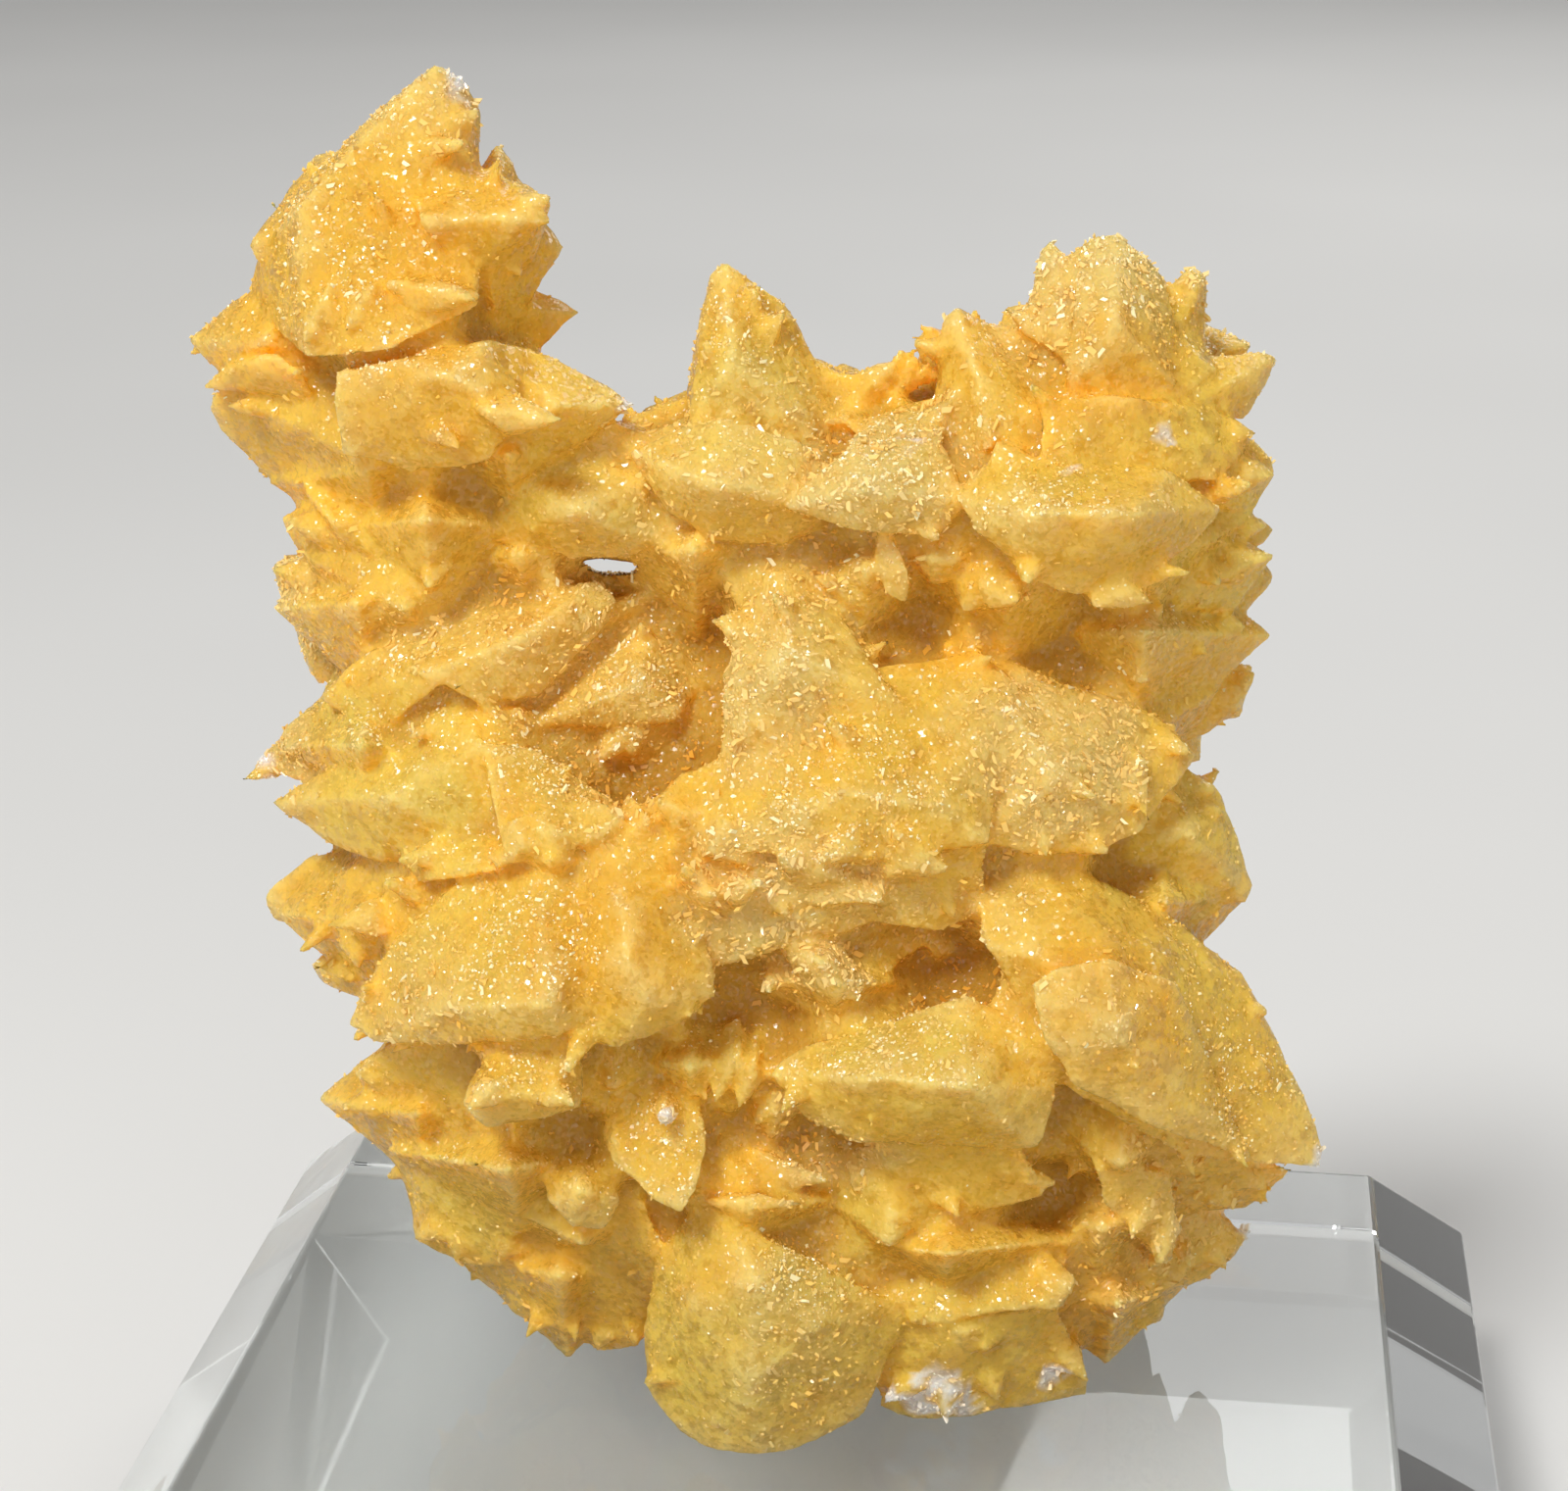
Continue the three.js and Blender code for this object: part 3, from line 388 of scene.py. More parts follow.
druseFinish = {
    **calciteFinish,
    "honey": paint(248, 204, 96),
    "lemon": paint(240, 208, 106),
    # own orange tone, also painted shade on undersides
    "amberToneAndShade": paint(248, 192, 72),
    # painted shade, for hollows
    "hollowShade": paint(232, 170, 62),
    # painted highlight: the grains painted white as glints
    "tips": paint(255, 240, 182),
    "sugar": paint(248, 210, 124),
    # painted white glints
    "paintedGlint": paint(254, 250, 242),
    "ior": 1.52,
    "roughness": (0.08, 0.3),
    "cloudPerMetre": 1500,
}


def makeDruseFinish():
    material, nodes, links, shader = newMaterial("selenite druse")
    links.new(crystalColour(nodes, links, druseFinish), shader.inputs["Base Color"])
    shader.inputs["IOR"].default_value = druseFinish["ior"]
    cloudedRoughness(nodes, links, druseFinish, shader)
    return material


glassFinish = {
    "tint": (0.96, 0.985, 0.98, 1),
    "ior": 1.52,
    "smudgePerMetre": 38,
    "smudges": (0.52, 0.72),
    "roughness": (0.01, 0.09),  # where it is clear and where it is smudged
}


def makeGlass():
    material, nodes, links, shader = newMaterial("clear glass")
    shader.inputs["Base Color"].default_value = glassFinish["tint"]
    shader.inputs["Transmission Weight"].default_value = 1.0
    shader.inputs["IOR"].default_value = glassFinish["ior"]
    smudge = noiseNode(nodes, links, glassFinish["smudgePerMetre"], detail=4)
    roughness = rangeNode(nodes, links, smudge, glassFinish["smudges"], glassFinish["roughness"])
    links.new(roughness, shader.inputs["Roughness"])
    return material


floorPaper = {
    "tones": (paint(226, 225, 222), paint(232, 231, 228)),
    "tonePerMetre": 6,
    "toned": (0.3, 0.7),
    "roughness": 0.7,
}


def makeFloorFinish():
    material, nodes, links, shader = newMaterial("pale floor")
    noise = noiseNode(nodes, links, floorPaper["tonePerMetre"], detail=2)
    tone = rangeNode(nodes, links, noise, floorPaper["toned"], (0.0, 1.0))
    links.new(mixColour(nodes, links, tone, *floorPaper["tones"]), shader.inputs["Base Color"])
    shader.inputs["Roughness"].default_value = floorPaper["roughness"]
    return material


calcite, druse = makeCalcite(), makeDruseFinish()
glass, floorFinish = makeGlass(), makeFloorFinish()
print("materials made")

# The first number of each random draw, so that every run gives the same specimen.
draws = {
    "sproutLean": 11, "sproutPlace": 12, "sproutTurn": 13, "placedTurn": 14, "swells": 20,
    "grainPlace": 31, "drift": 40, "rim": 50, "paintedGlintGrains": 60, "crumble": 61, "paintedGlintRim": 71,
    "patches": 77, "comb": 80, "sparkleRim": 83, "grainTurn": 90,
}

# Where the colour turns: right, up and near in mm as the eye sees them, and how far each reaches.
tintSpots = {
    "lemon": [
        (-20, -3, 7, 7), (19.5, -5, 3, 5.5), (-15, -22.5, 6, 6), (-23, 1, 2, 4), (23, 9, 3, 5),
        (2, -25, 9, 5), (-2, 17, 6, 4), (-4, -32, 11, 6), (7, -17, 14, 5),
    ],
    # the crystal's own orange tone, and painted shade where a spot sits in a recess
    "amberToneAndShade": [
        (-8, -10, 14, 6.5), (17, 19.5, 7, 4.5), (17, -14, 14, 5.5), (-19, 26, 8, 5), (-19, 17, 9, 4),
        (-12, 4, 6, 4), (10, 7, 4, 5), (-17, 24, 4, 4), (16, -27, 5, 5),
    ],
    "sugar": [
        (1, -9, 11, 7), (14, 0, 10, 6.5), (4.5, 13, 9, 5.5), (14, 23, 4, 4), (17.5, 24, 4, 3.5),
        (-1, 3, 9, 5), (2, -20, 10, 4), (-24, 7, -1, 4), (-24.5, 0, 2, 3),
    ],
}
# Painted white glints and highlights, as patches: right, up and near in mm, and how far each reaches.
paintedGlintSpots = [
    (-16.6, 33.6, 2.4, 1.6), (-7.9, 17.3, 6, 0.9), (6.4, 15.8, 8, 1.5), (19.3, 15.6, 7, 0.8),
    (14.9, 13.5, 9, 0.8), (-12, 1.5, 2.4, 0.8), (-6, -20.6, 12.6, 1.8), (-18, -22.8, 3, 1.3),
    (7.5, -33.4, 8, 2.6), (14.2, -31.5, 5.6, 1.5), (23.4, -25, 2, 0.9), (27.3, -21.2, 7, 0.9),
    (-26, -1.2, 1, 1.2),
]


tintRules = {
    "fade": (0.45, 1.05),  # where a spot fades, over its reach
    "rim": 0.35,  # how far its rim wanders
    "paintedGlintRim": 0.5,
    "rimNoise": (2.2 * mm, 0.8 * mm),
    "fineShare": 0.6,
    "most": 0.85,
    "drift": (0.1, 0.7),  # where the slow drift of a tint sets in, and where it is full
    "driftMost": 0.4,
    "driftNoise": 9 * mm,
    "paintedGlint": (0.45, 0.8),
    "crumble": (0.75, 0.9),  # how much of the painted glint patches is steady, and how much is broken up
    "crumbleNoise": [(1.1 * mm, 0.4), (0.45 * mm, 0.6)],  # spacing, weight
}


def spotTint(places, spots, seed, edge):
    # the strongest of the spots at each place: 1 near its middle, 0 past its reach, its rim wandering
    spacings = tintRules["rimNoise"]
    broad, fine = (smoothNoise(places, spacing, seed + k) for k, spacing in enumerate(spacings))
    wander = 1 + edge * broad + edge * tintRules["fineShare"] * fine
    tint = np.zeros(len(places))
    for right, up, near, reach in spots:
        away = np.linalg.norm(places - seenPoint(right, up, near), axis=1) / (reach * mm)
        tint = np.maximum(tint, 1 - smoothStep(away * wander, *tintRules["fade"]))
    return tint


def crystalTints(places):
    # the spots, with a slow drift of each tint over the rest, so that no side is plain
    rules = tintRules
    tints = {}
    for number, (label, spots) in enumerate(tintSpots.items()):
        drift = smoothNoise(places, rules["driftNoise"], draws["drift"] + number)
        drift = rules["driftMost"] * smoothStep(drift, *rules["drift"])
        tint = rules["most"] * spotTint(places, spots, draws["rim"] + number, rules["rim"])
        tints[label] = np.maximum(tint, drift)
    crumble = sum(
        weight * smoothNoise(places, spacing, draws["crumble"] + number)
        for number, (spacing, weight) in enumerate(rules["crumbleNoise"])
    )
    steady, broken = rules["crumble"]
    # painted white glint patches, part of them broken up by noise
    paintedGlint = spotTint(places, paintedGlintSpots, draws["paintedGlintRim"], rules["paintedGlintRim"])
    tints["paintedGlint"] = rules["most"] * smoothStep(paintedGlint * (steady + broken * crumble), *rules["paintedGlint"])
    return tints


# Small crystals that show, in mm as the eye sees them: the tip right and up, the root right and up,
# the half width, and how much nearer the tip is than the cluster's skin at the root.
grownCrystals = [
    (-15.3, 32.6, -16.8, 31.6, 0.9, 0), (-16.1, 30.9, -18.2, 30.1, 0.9, 1),
    (-14.5, 29.8, -14.9, 28.5, 0.6, 0), (-11.8, 28.1, -13.1, 27.4, 0.8, 0),
    (-11.8, 26.8, -13, 26.9, 0.6, 0), (-15.5, 22.8, -18.6, 22.9, 1.3, 1.4),
    (-24.7, 20.2, -23.2, 22.4, 1.3, 0.8), (-22.6, 20.8, -21.4, 22.6, 0.9, 0.8),
    (-21, 28.5, -20.4, 26.6, 0.8, 0.5), (-11, 16.6, -14.2, 16.9, 1.1, 1.2),
    (-16.4, 15, -17.6, 16.2, 0.8, 0.8), (-13.2, 23.9, -14, 24.6, 0.5, 0),
    (0.2, 22.3, -0.9, 21, 0.8, 0.4), (-1.2, 23.5, -1.7, 22.2, 0.7, 0), (3.2, 15.6, 5.2, 15.8, 0.8, 1),
    (1.3, 8.7, 3.3, 8, 0.8, 0.8), (8.2, 10.4, 7.2, 11, 0.5, 0.6), (8.3, 9.2, 8.9, 9.8, 0.5, 0.7),
    (6.5, 20.6, 8.1, 20.1, 0.8, -0.4), (11.1, 22.4, 12.5, 21.6, 0.8, 0), (24.2, 15.9, 22.8, 16, 0.7, 0),
    (21.4, 24.3, 20.4, 22.7, 0.8, 0.2), (25.2, 13.8, 23.4, 14, 1, 0),
    (24.9, 11.2, 23.5, 11.2, 0.8, -0.4), (25.1, 9.8, 22.7, 9.3, 1.3, 0), (22.4, 8, 21.6, 9, 0.7, 0.8),
    (12.3, 8.2, 12.6, 9.3, 0.7, 0.9), (16.6, 17, 15.4, 18, 0.7, 0.6),
    (12.4, 18.6, 13.4, 17.4, 0.6, 0.8), (10.6, 13.3, 11.4, 14.6, 0.8, 0.8),
    (-25.6, 11.4, -23.5, 11.3, 1, 0), (-26.3, 9, -24, 8.6, 1.2, 0), (-18.3, 7.9, -17.8, 8.9, 0.8, 0.9),
    (-20.2, 9.1, -22.4, 11.2, 0.9, 0.7), (-19.4, 0.4, -17, 1.3, 0.9, 1),
    (-15.7, 2.5, -14.6, 1.5, 0.8, 0.8), (-13.8, 2.1, -13.2, 1.1, 0.6, 0.5),
    (-19.8, -5.9, -17.4, -5.5, 1, 1), (-20.6, -6.9, -18.4, -7.5, 1, 1.2),
    (-8.3, -1.7, -9.1, -2.4, 0.5, 0.6), (-10.5, -0.9, -11.3, -1.3, 0.4, 0.5),
    (-7.9, -0.7, -7.6, 0.3, 0.6, 0.5), (-3.7, 6.6, -2, 5.7, 1.3, 0.4), (-0.6, 7.9, 0.1, 6.9, 0.7, 0.8),
    (10.8, 4.6, 9.6, 4.1, 0.7, 0.6), (5.3, -8, 2.4, -7.2, 1.1, 1), (-5, -6.3, -5.8, -7.3, 0.5, 0.5),
    (0.4, -8.8, -0.6, -7.8, 0.7, 0.6), (23.7, 6, 22.5, 6.1, 0.8, 0), (24.1, 3.9, 22.4, 2.5, 1.3, 0),
    (22.9, 1.4, 22, 1.7, 0.6, 0), (20.9, -0.5, 19.2, 0.2, 0.8, 0.9), (18.7, -4.1, 17.6, -1.6, 1, 1.1),
    (22.2, -2.3, 21, -2.2, 0.5, 0), (22.6, -3.6, 21.6, -3.3, 0.5, 0), (21.3, -8.4, 21, -7.2, 0.5, 0),
    (16.8, -5.5, 15.5, -4.9, 0.7, 0.8), (16.1, -2.7, 14.9, -2.2, 0.6, 0.6),
    (13.4, -5.9, 13.2, -4.6, 0.8, 0.7), (8.6, -8.8, 8.2, -7.6, 0.8, 0.6),
    (-23.5, -9.2, -21.1, -8.9, 0.9, 0.9), (-21.6, -11.5, -22, -10, 0.8, 0.7),
    (-24.2, -11.3, -22.3, -11.4, 0.9, 0), (-21.8, -12.4, -20.7, -12.3, 0.5, 0.9),
    (-22, -16.8, -20.8, -16.8, 0.7, 0), (-22.6, -18.4, -20.8, -18.2, 1, 0),
    (-12.3, -22, -11.5, -21, 0.6, 0.6), (-19, -25.3, -17.6, -24.5, 1.1, 0),
    (-16.8, -26.5, -16.5, -25.2, 0.8, 0), (-14.6, -26.8, -14.2, -25.4, 0.7, 0),
    (-10.5, -18.4, -11.6, -17.8, 0.7, 0.6), (-16.4, -18.9, -15, -17.6, 1, 0.8),
    (-3.5, -18.3, -2.9, -16, 1, 0.9), (-2.4, -18.9, -1.8, -16.6, 1, 0.9),
    (-1.5, -19.6, -0.8, -18, 0.9, 0.5), (2.4, -22.2, -0.8, -21.7, 1.3, 0.6),
    (1.4, -23.4, -1.5, -23.3, 0.6, 0.3), (6.6, -24.6, 4.7, -22, 1.2, 1),
    (0.5, -25.3, 3.8, -26.2, 1.2, 0.7), (9, -24.2, 8.2, -22.8, 0.8, 0.8),
    (24.8, -13.6, 23.8, -13.5, 0.6, 0), (25.1, -16.9, 24.1, -16.3, 0.6, 0),
    (25.1, -22.8, 23.5, -22.1, 0.8, -0.4), (23.4, -23.7, 22, -22.9, 0.7, -0.4),
    (17.6, -25.1, 18.4, -23.4, 1.2, 0.9), (19.2, -26.5, 19.2, -24.4, 1.2, 0.9),
    (19.3, -28, 19.8, -26.8, 0.8, 0), (22.6, -26.8, 21.8, -25.8, 0.8, 0),
    (15.6, -32.6, 14.2, -31, 1.2, 0.3), (8.2, -34.4, 8.4, -32.8, 1.1, 0.4),
    (5, -33.6, 6.4, -32.4, 1, 0.3), (11, -33.6, 10.4, -32.2, 0.9, 0.3),
    (-7.3, -32.6, -6, -32, 0.9, 0.2), (-9.6, -31, -9.2, -29.8, 0.8, 0),
    (-7.6, -30.9, -7.6, -29.6, 0.7, 0), (14.9, -27.9, 13.2, -27.2, 0.9, 0.5),
    (-5.4, -5.6, -5.2, -3.4, 1.7, 0.3), (-1.6, -6.2, -3, -4.6, 1.6, 0.2),
    (3.4, -7.2, 1.4, -5.6, 2, 0.5), (8.4, -6.4, 6.2, -5.2, 1.5, 0.3), (1.8, -5.9, 3.4, -4.8, 1.2, 0.7),
    (-14.9, -6.3, -13.3, -4.7, 1.4, 0), (-11.4, -6.6, -11.8, -4.6, 1.5, 0.3),
    (-8.8, -6.4, -9.6, -4.4, 1.4, 0.2), (-8.8, -4.6, -7, -2.8, 1.6, 0),
    (-6.8, -6.2, -7.4, -4.3, 1.5, 0.2), (2, 1.4, 3.4, 0, 0.7, 0.8), (-1.4, 1.2, -0.6, 0.2, 0.7, 0.7),
    (-12.8, 1, -7.6, 3, 2.5, 1.6), (-7.4, 6.6, -6.6, 3.6, 1.6, 1), (-9.6, -0.9, -8, 0.6, 0.9, 0.9),
    (15.8, 7, 16.6, 8.2, 2, 0.3), (18.9, 6.4, 17.4, 7.6, 1.5, 0.7), (9.2, 6.8, 10, 8.2, 1.9, 0.4),
    (12, 7.3, 11.2, 8, 1.3, 0.7), (5.8, 19.7, 3.6, 17.4, 1.5, 0.3),
]

# The calcite: the CAD cluster with smaller crystals grown on it, its creases filled and its skin rough.
calciteBody = {
    "points": 260,  # small crystals that sprout at random from the large ones
    "pointLength": (0.8 * mm, 2.6 * mm),
    "pointSkew": 3,  # the power that makes most of them short
    "pointSlimness": 0.34,
    "outward": 0.9,  # how much a small crystal points away from the cluster's middle
    "lean": 0.35,  # how much it leans at random
    "rootSunk": 0.4,  # how deep a placed crystal's root lies, over its half width
    "voxel": 0.2 * mm,
    "coarse": 0.5 * mm,  # the voxels of the packing that fills the deep gaps
    "gap": 1.2 * mm,  # gaps narrower than twice this are packed
    "packedBelow": 1.0 * mm,  # how far under the crystals' skin the packing ends
    "smoothings": 8,
    "fillSteps": 4,
    "fill": 0.7,
    "slide": 0.3,  # how much the places spread out along the skin meanwhile
    "swells": [(3.4 * mm, 0.12 * mm), (1.3 * mm, 0.1 * mm), (0.65 * mm, 0.06 * mm)],  # spacing, height
    "triangles": 194000,
    # what stays open, at the see-through slit and right of the centre spike: right, up and reach in mm
    "open": [
        (-10.2, 9.2, 1.2), (-9.1, 9.1, 1.2), (-8, 9.1, 1.2), (3.7, 20.7, 1.2), (7.2, 18.8, 1.1),
    ],
    "openFade": (0.9, 1.6),  # where the packing is let in again, over the reach
    "openMargin": 0.9,  # how far out of it a sprouting crystal must be
    "slit": [  # right, up
        (-11.2, 9.3), (-10.4, 9.7), (-7.8, 9.8), (-6.8, 9.3), (-7.8, 8.7), (-9.6, 8.6),
    ],
    "slitNear": (14, -30),  # from before the cluster to behind it
}


def scatter(places, triangles, count, seed, crowding=1.0):
    # triangles drawn by area and crowding, and in each the corners' weights from two random numbers:
    # 1 - sqrt(r1), sqrt(r1) (1 - r2) and sqrt(r1) r2
    random = np.random.default_rng(seed)
    a, b, c = (places[triangles[:, k]] for k in range(3))
    area = np.linalg.norm(np.cross(b - a, c - a), axis=1) * crowding
    chosen = random.choice(len(triangles), count, p=area / area.sum())
    first, second = np.sqrt(random.random(count)), random.random(count)
    weights = np.stack([1 - first, first * (1 - second), first * second], 1)
    return chosen, weights


# A small crystal's belt: sharp and blunt corners by turns, over its half width.
belt = {
    "corners": 6,
    "sharp": 1.2,
    "blunt": 0.82,
    "zigzag": 0.15,  # how far they step up and down, over its length
    "turned": (0, 2),
    "stray": (0.85, 1.15),
}


def spindles(tip, root, halfWide, seed):
    # eight corners each: the tip, its mirror image past the root, and a ring of six round the root
    # that zigzags along the axis and out from it
    random = np.random.default_rng(seed)
    count, corners = len(tip), belt["corners"]
    axis = tip - root
    side = unit(np.cross(axis, random.normal(size=(count, 3))))
    other = unit(np.cross(axis, side))
    turn = np.arange(corners)
    angle = np.radians(360 / corners * turn)[None, :, None]
    angle = angle + random.uniform(*belt["turned"], (count, 1, 1))
    stray = random.uniform(*belt["stray"], (count, corners, 1))
    ridge = np.where(turn % 2, belt["blunt"], belt["sharp"])[None, :, None]
    reach = halfWide[:, None, None] * ridge * stray
    step = np.where(turn % 2, belt["zigzag"], -belt["zigzag"])[None, :, None]
    ring = root[:, None] + reach * (np.cos(angle) * side[:, None] + np.sin(angle) * other[:, None])
    places = np.concatenate([tip[:, None], (root - axis)[:, None], ring + step * axis[:, None]], 1)
    after = (turn + 1) % corners
    upper = np.stack([np.zeros(corners, int), turn + 2, after + 2], 1)
    lower = np.stack([np.ones(corners, int), after + 2, turn + 2], 1)
    first = (corners + 2) * np.arange(count)[:, None, None]
    return places.reshape(-1, 3), (np.concatenate([upper, lower])[None] + first).reshape(-1, 3)


def sproutingPoints(places, triangles):
    # small crystals at random places that point off the faces they grow on and away from the middle
    settings = calciteBody
    random = np.random.default_rng(draws["sproutLean"])
    count = settings["points"]
    chosen, weights = scatter(places, triangles, count, draws["sproutPlace"])
    corners = places[triangles[chosen]]
    root = (corners * weights[:, :, None]).sum(1)
    normal = unit(np.cross(corners[:, 1] - corners[:, 0], corners[:, 2] - corners[:, 0]))
    outward = unit(root - places.mean(0))
    axis = normal + settings["outward"] * outward + settings["lean"] * random.normal(size=(count, 3))
    axis = unit(axis)
    low, high = settings["pointLength"]
    length = low + (high - low) * random.random(count) ** settings["pointSkew"]
    tip = root + axis * length[:, None]
    clear = np.minimum(keptOpen(root), keptOpen(tip)) > settings["openMargin"]
    halfWide = settings["pointSlimness"] * length[clear]
    return spindles(tip[clear], root[clear], halfWide, draws["sproutTurn"])


def placedCrystals(places, triangles):
    # the crystals of the list, each rooted where its sight line meets the cluster
    tree = BVHTree.FromPolygons(places.tolist(), triangles.tolist())
    tips, roots, halfWide = [], [], []
    for tipRight, tipUp, rootRight, rootUp, half, proud in grownCrystals:
        sight = unit(seenPoint(rootRight, rootUp, 0) - eye)
        hit = tree.ray_cast(Vector(eye), Vector(sight))[0]
        if hit is None:
            continue
        near = nearOf(np.array(hit), rootRight, rootUp)
        tips.append(seenPoint(tipRight, tipUp, near + proud))
        roots.append(seenPoint(rootRight, rootUp, near - calciteBody["rootSunk"] * half))
        halfWide.append(half * mm)
    return spindles(np.array(tips), np.array(roots), np.array(halfWide), draws["placedTurn"])


def seenPlaces(places):
    # where each place is seen, in mm right of and above the middle
    offset = places - eye
    depth = -(offset @ towardEye)
    scale = eyeView["distance"] / depth / mm
    return (offset @ across) * scale, (offset @ upView) * scale


def keptOpen(places):
    # 0 inside what stays open and 1 away from it, as the eye sees them
    right, up = seenPlaces(places)
    low, high = calciteBody["openFade"]
    away = np.ones(len(places))
    for middleRight, middleUp, reach in calciteBody["open"]:
        distance = np.hypot(right - middleRight, up - middleUp)
        away = np.minimum(away, smoothStep(distance, low * reach, high * reach))
    return away


def largestPart(places, triangles, edges):
    # only what hangs together with most of the skin: each point takes the lowest number among its
    # neighbours until nothing changes
    label = np.arange(len(places))
    while True:
        lowest = np.minimum(label[edges[:, 0]], label[edges[:, 1]])
        spread = label.copy()
        np.minimum.at(spread, edges[:, 0], lowest)
        np.minimum.at(spread, edges[:, 1], lowest)
        spread = spread[spread]
        if (spread == label).all():
            break
        label = spread
    kept = label == np.bincount(label).argmax()
    renumbered = np.cumsum(kept) - 1
    return places[kept], renumbered[triangles[kept[triangles[:, 0]]]]


def remeshed(places, triangles, voxel):
    # one closed skin round all that overlaps, from voxels of that size
    piece = addMesh("rough", places, triangles, calcite)
    remesh = piece.modifiers.new("Remesh", "REMESH")
    remesh.mode = "VOXEL"
    remesh.voxel_size = voxel
    mesh = evaluatedMesh(piece)
    bpy.data.objects.remove(piece)
    return mesh


def slitRod():
    # a rod along the sight lines, as wide as the slit's outline
    outline = calciteBody["slit"]
    corners = [seenPoint(right, up, near) for near in calciteBody["slitNear"] for right, up in outline]
    count = len(outline)
    turn = np.arange(count)
    after = (turn + 1) % count
    sides = [(turn, after, after + count), (turn, after + count, turn + count)]
    inner = turn[1:-1]
    first = np.zeros(count - 2, int)
    caps = [(first, inner + 1, inner), (first + count, inner + count, inner + 1 + count)]
    return np.array(corners), np.concatenate([np.stack(group, 1) for group in sides + caps])


def withSlitCut(places, triangles):
    # the mesh less the slit's rod
    whole = addMesh("whole", places, triangles, calcite)
    rod = addMesh("rod", *slitRod(), calcite)
    cut = whole.modifiers.new("Slit", "BOOLEAN")
    cut.operation = "DIFFERENCE"
    cut.solver = "MANIFOLD"
    cut.object = rod
    places, triangles = meshArrays(evaluatedMesh(whole))
    bpy.data.objects.remove(whole)
    bpy.data.objects.remove(rod)
    return places, triangles


def packing(places, triangles):
    # the skin moved out until narrow gaps close, and then in again and a little farther
    settings = calciteBody
    near, faces = meshArrays(remeshed(places, triangles, settings["coarse"]))
    reach = settings["gap"] * keptOpen(near)[:, None]
    swollen = near + pointNormals(near, faces) * reach
    closed, faces = meshArrays(remeshed(swollen, faces, settings["coarse"]))
    edges = triangleEdges(faces)
    inward = -pointNormals(closed, faces)
    for _ in range(settings["smoothings"]):
        closed = neighbourMean(closed, edges)
        inward = neighbourMean(inward, edges)
    depth = settings["gap"] * keptOpen(closed)[:, None] + settings["packedBelow"]
    return withSlitCut(closed + unit(inward) * depth, faces)


def filledCreases(places, triangles, edges, floor):
    # in the hollows places move out along their normals by a share of the way to their neighbours' mean,
    # and slide a little along the skin, and on the ridges they stay
    allowed = keptOpen(places)
    for _ in range(calciteBody["fillSteps"]):
        normals = pointNormals(places, triangles)
        toMean = neighbourMean(places, edges) - places
        lift = (toMean * normals).sum(1)
        hollow = lift > 0
        step = lift * np.where(hollow, calciteBody["fill"] * allowed, 0.0)
        slide = toMean - normals * lift[:, None]
        places = places + normals * step[:, None] + calciteBody["slide"] * slide * hollow[:, None]
        places[:, 2] = np.maximum(places[:, 2], floor)
    return places


def roughened(places, triangles, floor):
    # each swell lifts or sinks the skin by its height times smooth noise of its spacing
    normals = pointNormals(places, triangles)
    lift = np.zeros(len(places))
    for number, (spacing, height) in enumerate(calciteBody["swells"]):
        lift += height * smoothNoise(places, spacing, draws["swells"] + number)
    places = places + normals * lift[:, None]
    places[:, 2] = np.maximum(places[:, 2], floor)
    return places


def relief(places, triangles, edges, steps):
    # how far each place stands above (+) or below (-) the skin once that is smoothed that many times
    smoothed = places
    for _ in range(steps):
        smoothed = neighbourMean(smoothed, edges)
    return ((places - smoothed) * pointNormals(places, triangles)).sum(1)


sameCorner = 0.001 * mm


def nodeArrays(name):
    # a copy of a CAD node with its loose triangles joined at their shared corners
    places, triangles = meshArrays(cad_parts[name].data)
    keys = np.round(places / sameCorner).astype(np.int64)
    _, first, joined = np.unique(keys, axis=0, return_index=True, return_inverse=True)
    return places[first], joined.reshape(-1)[triangles]


# How the shape of the skin paints shade into its hollows and highlight onto its ridges: in mm above or
# below the skin once that is smoothed.
reliefTints = {
    "fineSteps": 6,
    "broadSteps": 60,
    "hollow": (0.1, 1.5),
    "crease": (0.05, 0.3),
    "creaseShare": 0.3,
    "ridge": (0.12, 0.6),
    "ridgeMost": 0.55,
    "broadShare": 0.2,
    "underside": (0.05, 0.7),  # by how far a face looks down: undersides get painted amber shade and lose their sugar
    "undersideShade": 0.75,
    "sugarLostBelow": 0.6,
}


def addReliefTints(tints, places, triangles):
    # painted shade: hollows and creases darken and undersides turn amber; painted highlight: ridges turn
    # pale
    rules = reliefTints
    edges = triangleEdges(triangles)
    fine = relief(places, triangles, edges, rules["fineSteps"]) / mm
    broad = relief(places, triangles, edges, rules["broadSteps"]) / mm
    crease = rules["creaseShare"] * smoothStep(-fine, *rules["crease"])
    tints["hollow"] = np.clip(smoothStep(-broad, *rules["hollow"]) + crease, 0, 1)
    tints["ridge"] = rules["ridgeMost"] * smoothStep(fine + rules["broadShare"] * broad, *rules["ridge"])
    # painted shade: undersides turn amber; they also lose most of their sugar tint
    underside = smoothStep(-pointNormals(places, triangles)[:, 2], *rules["underside"])
    tints["amberToneAndShade"] = np.maximum(tints["amberToneAndShade"], rules["undersideShade"] * underside)
    tints["sugar"] = tints["sugar"] * (1 - rules["sugarLostBelow"] * underside)


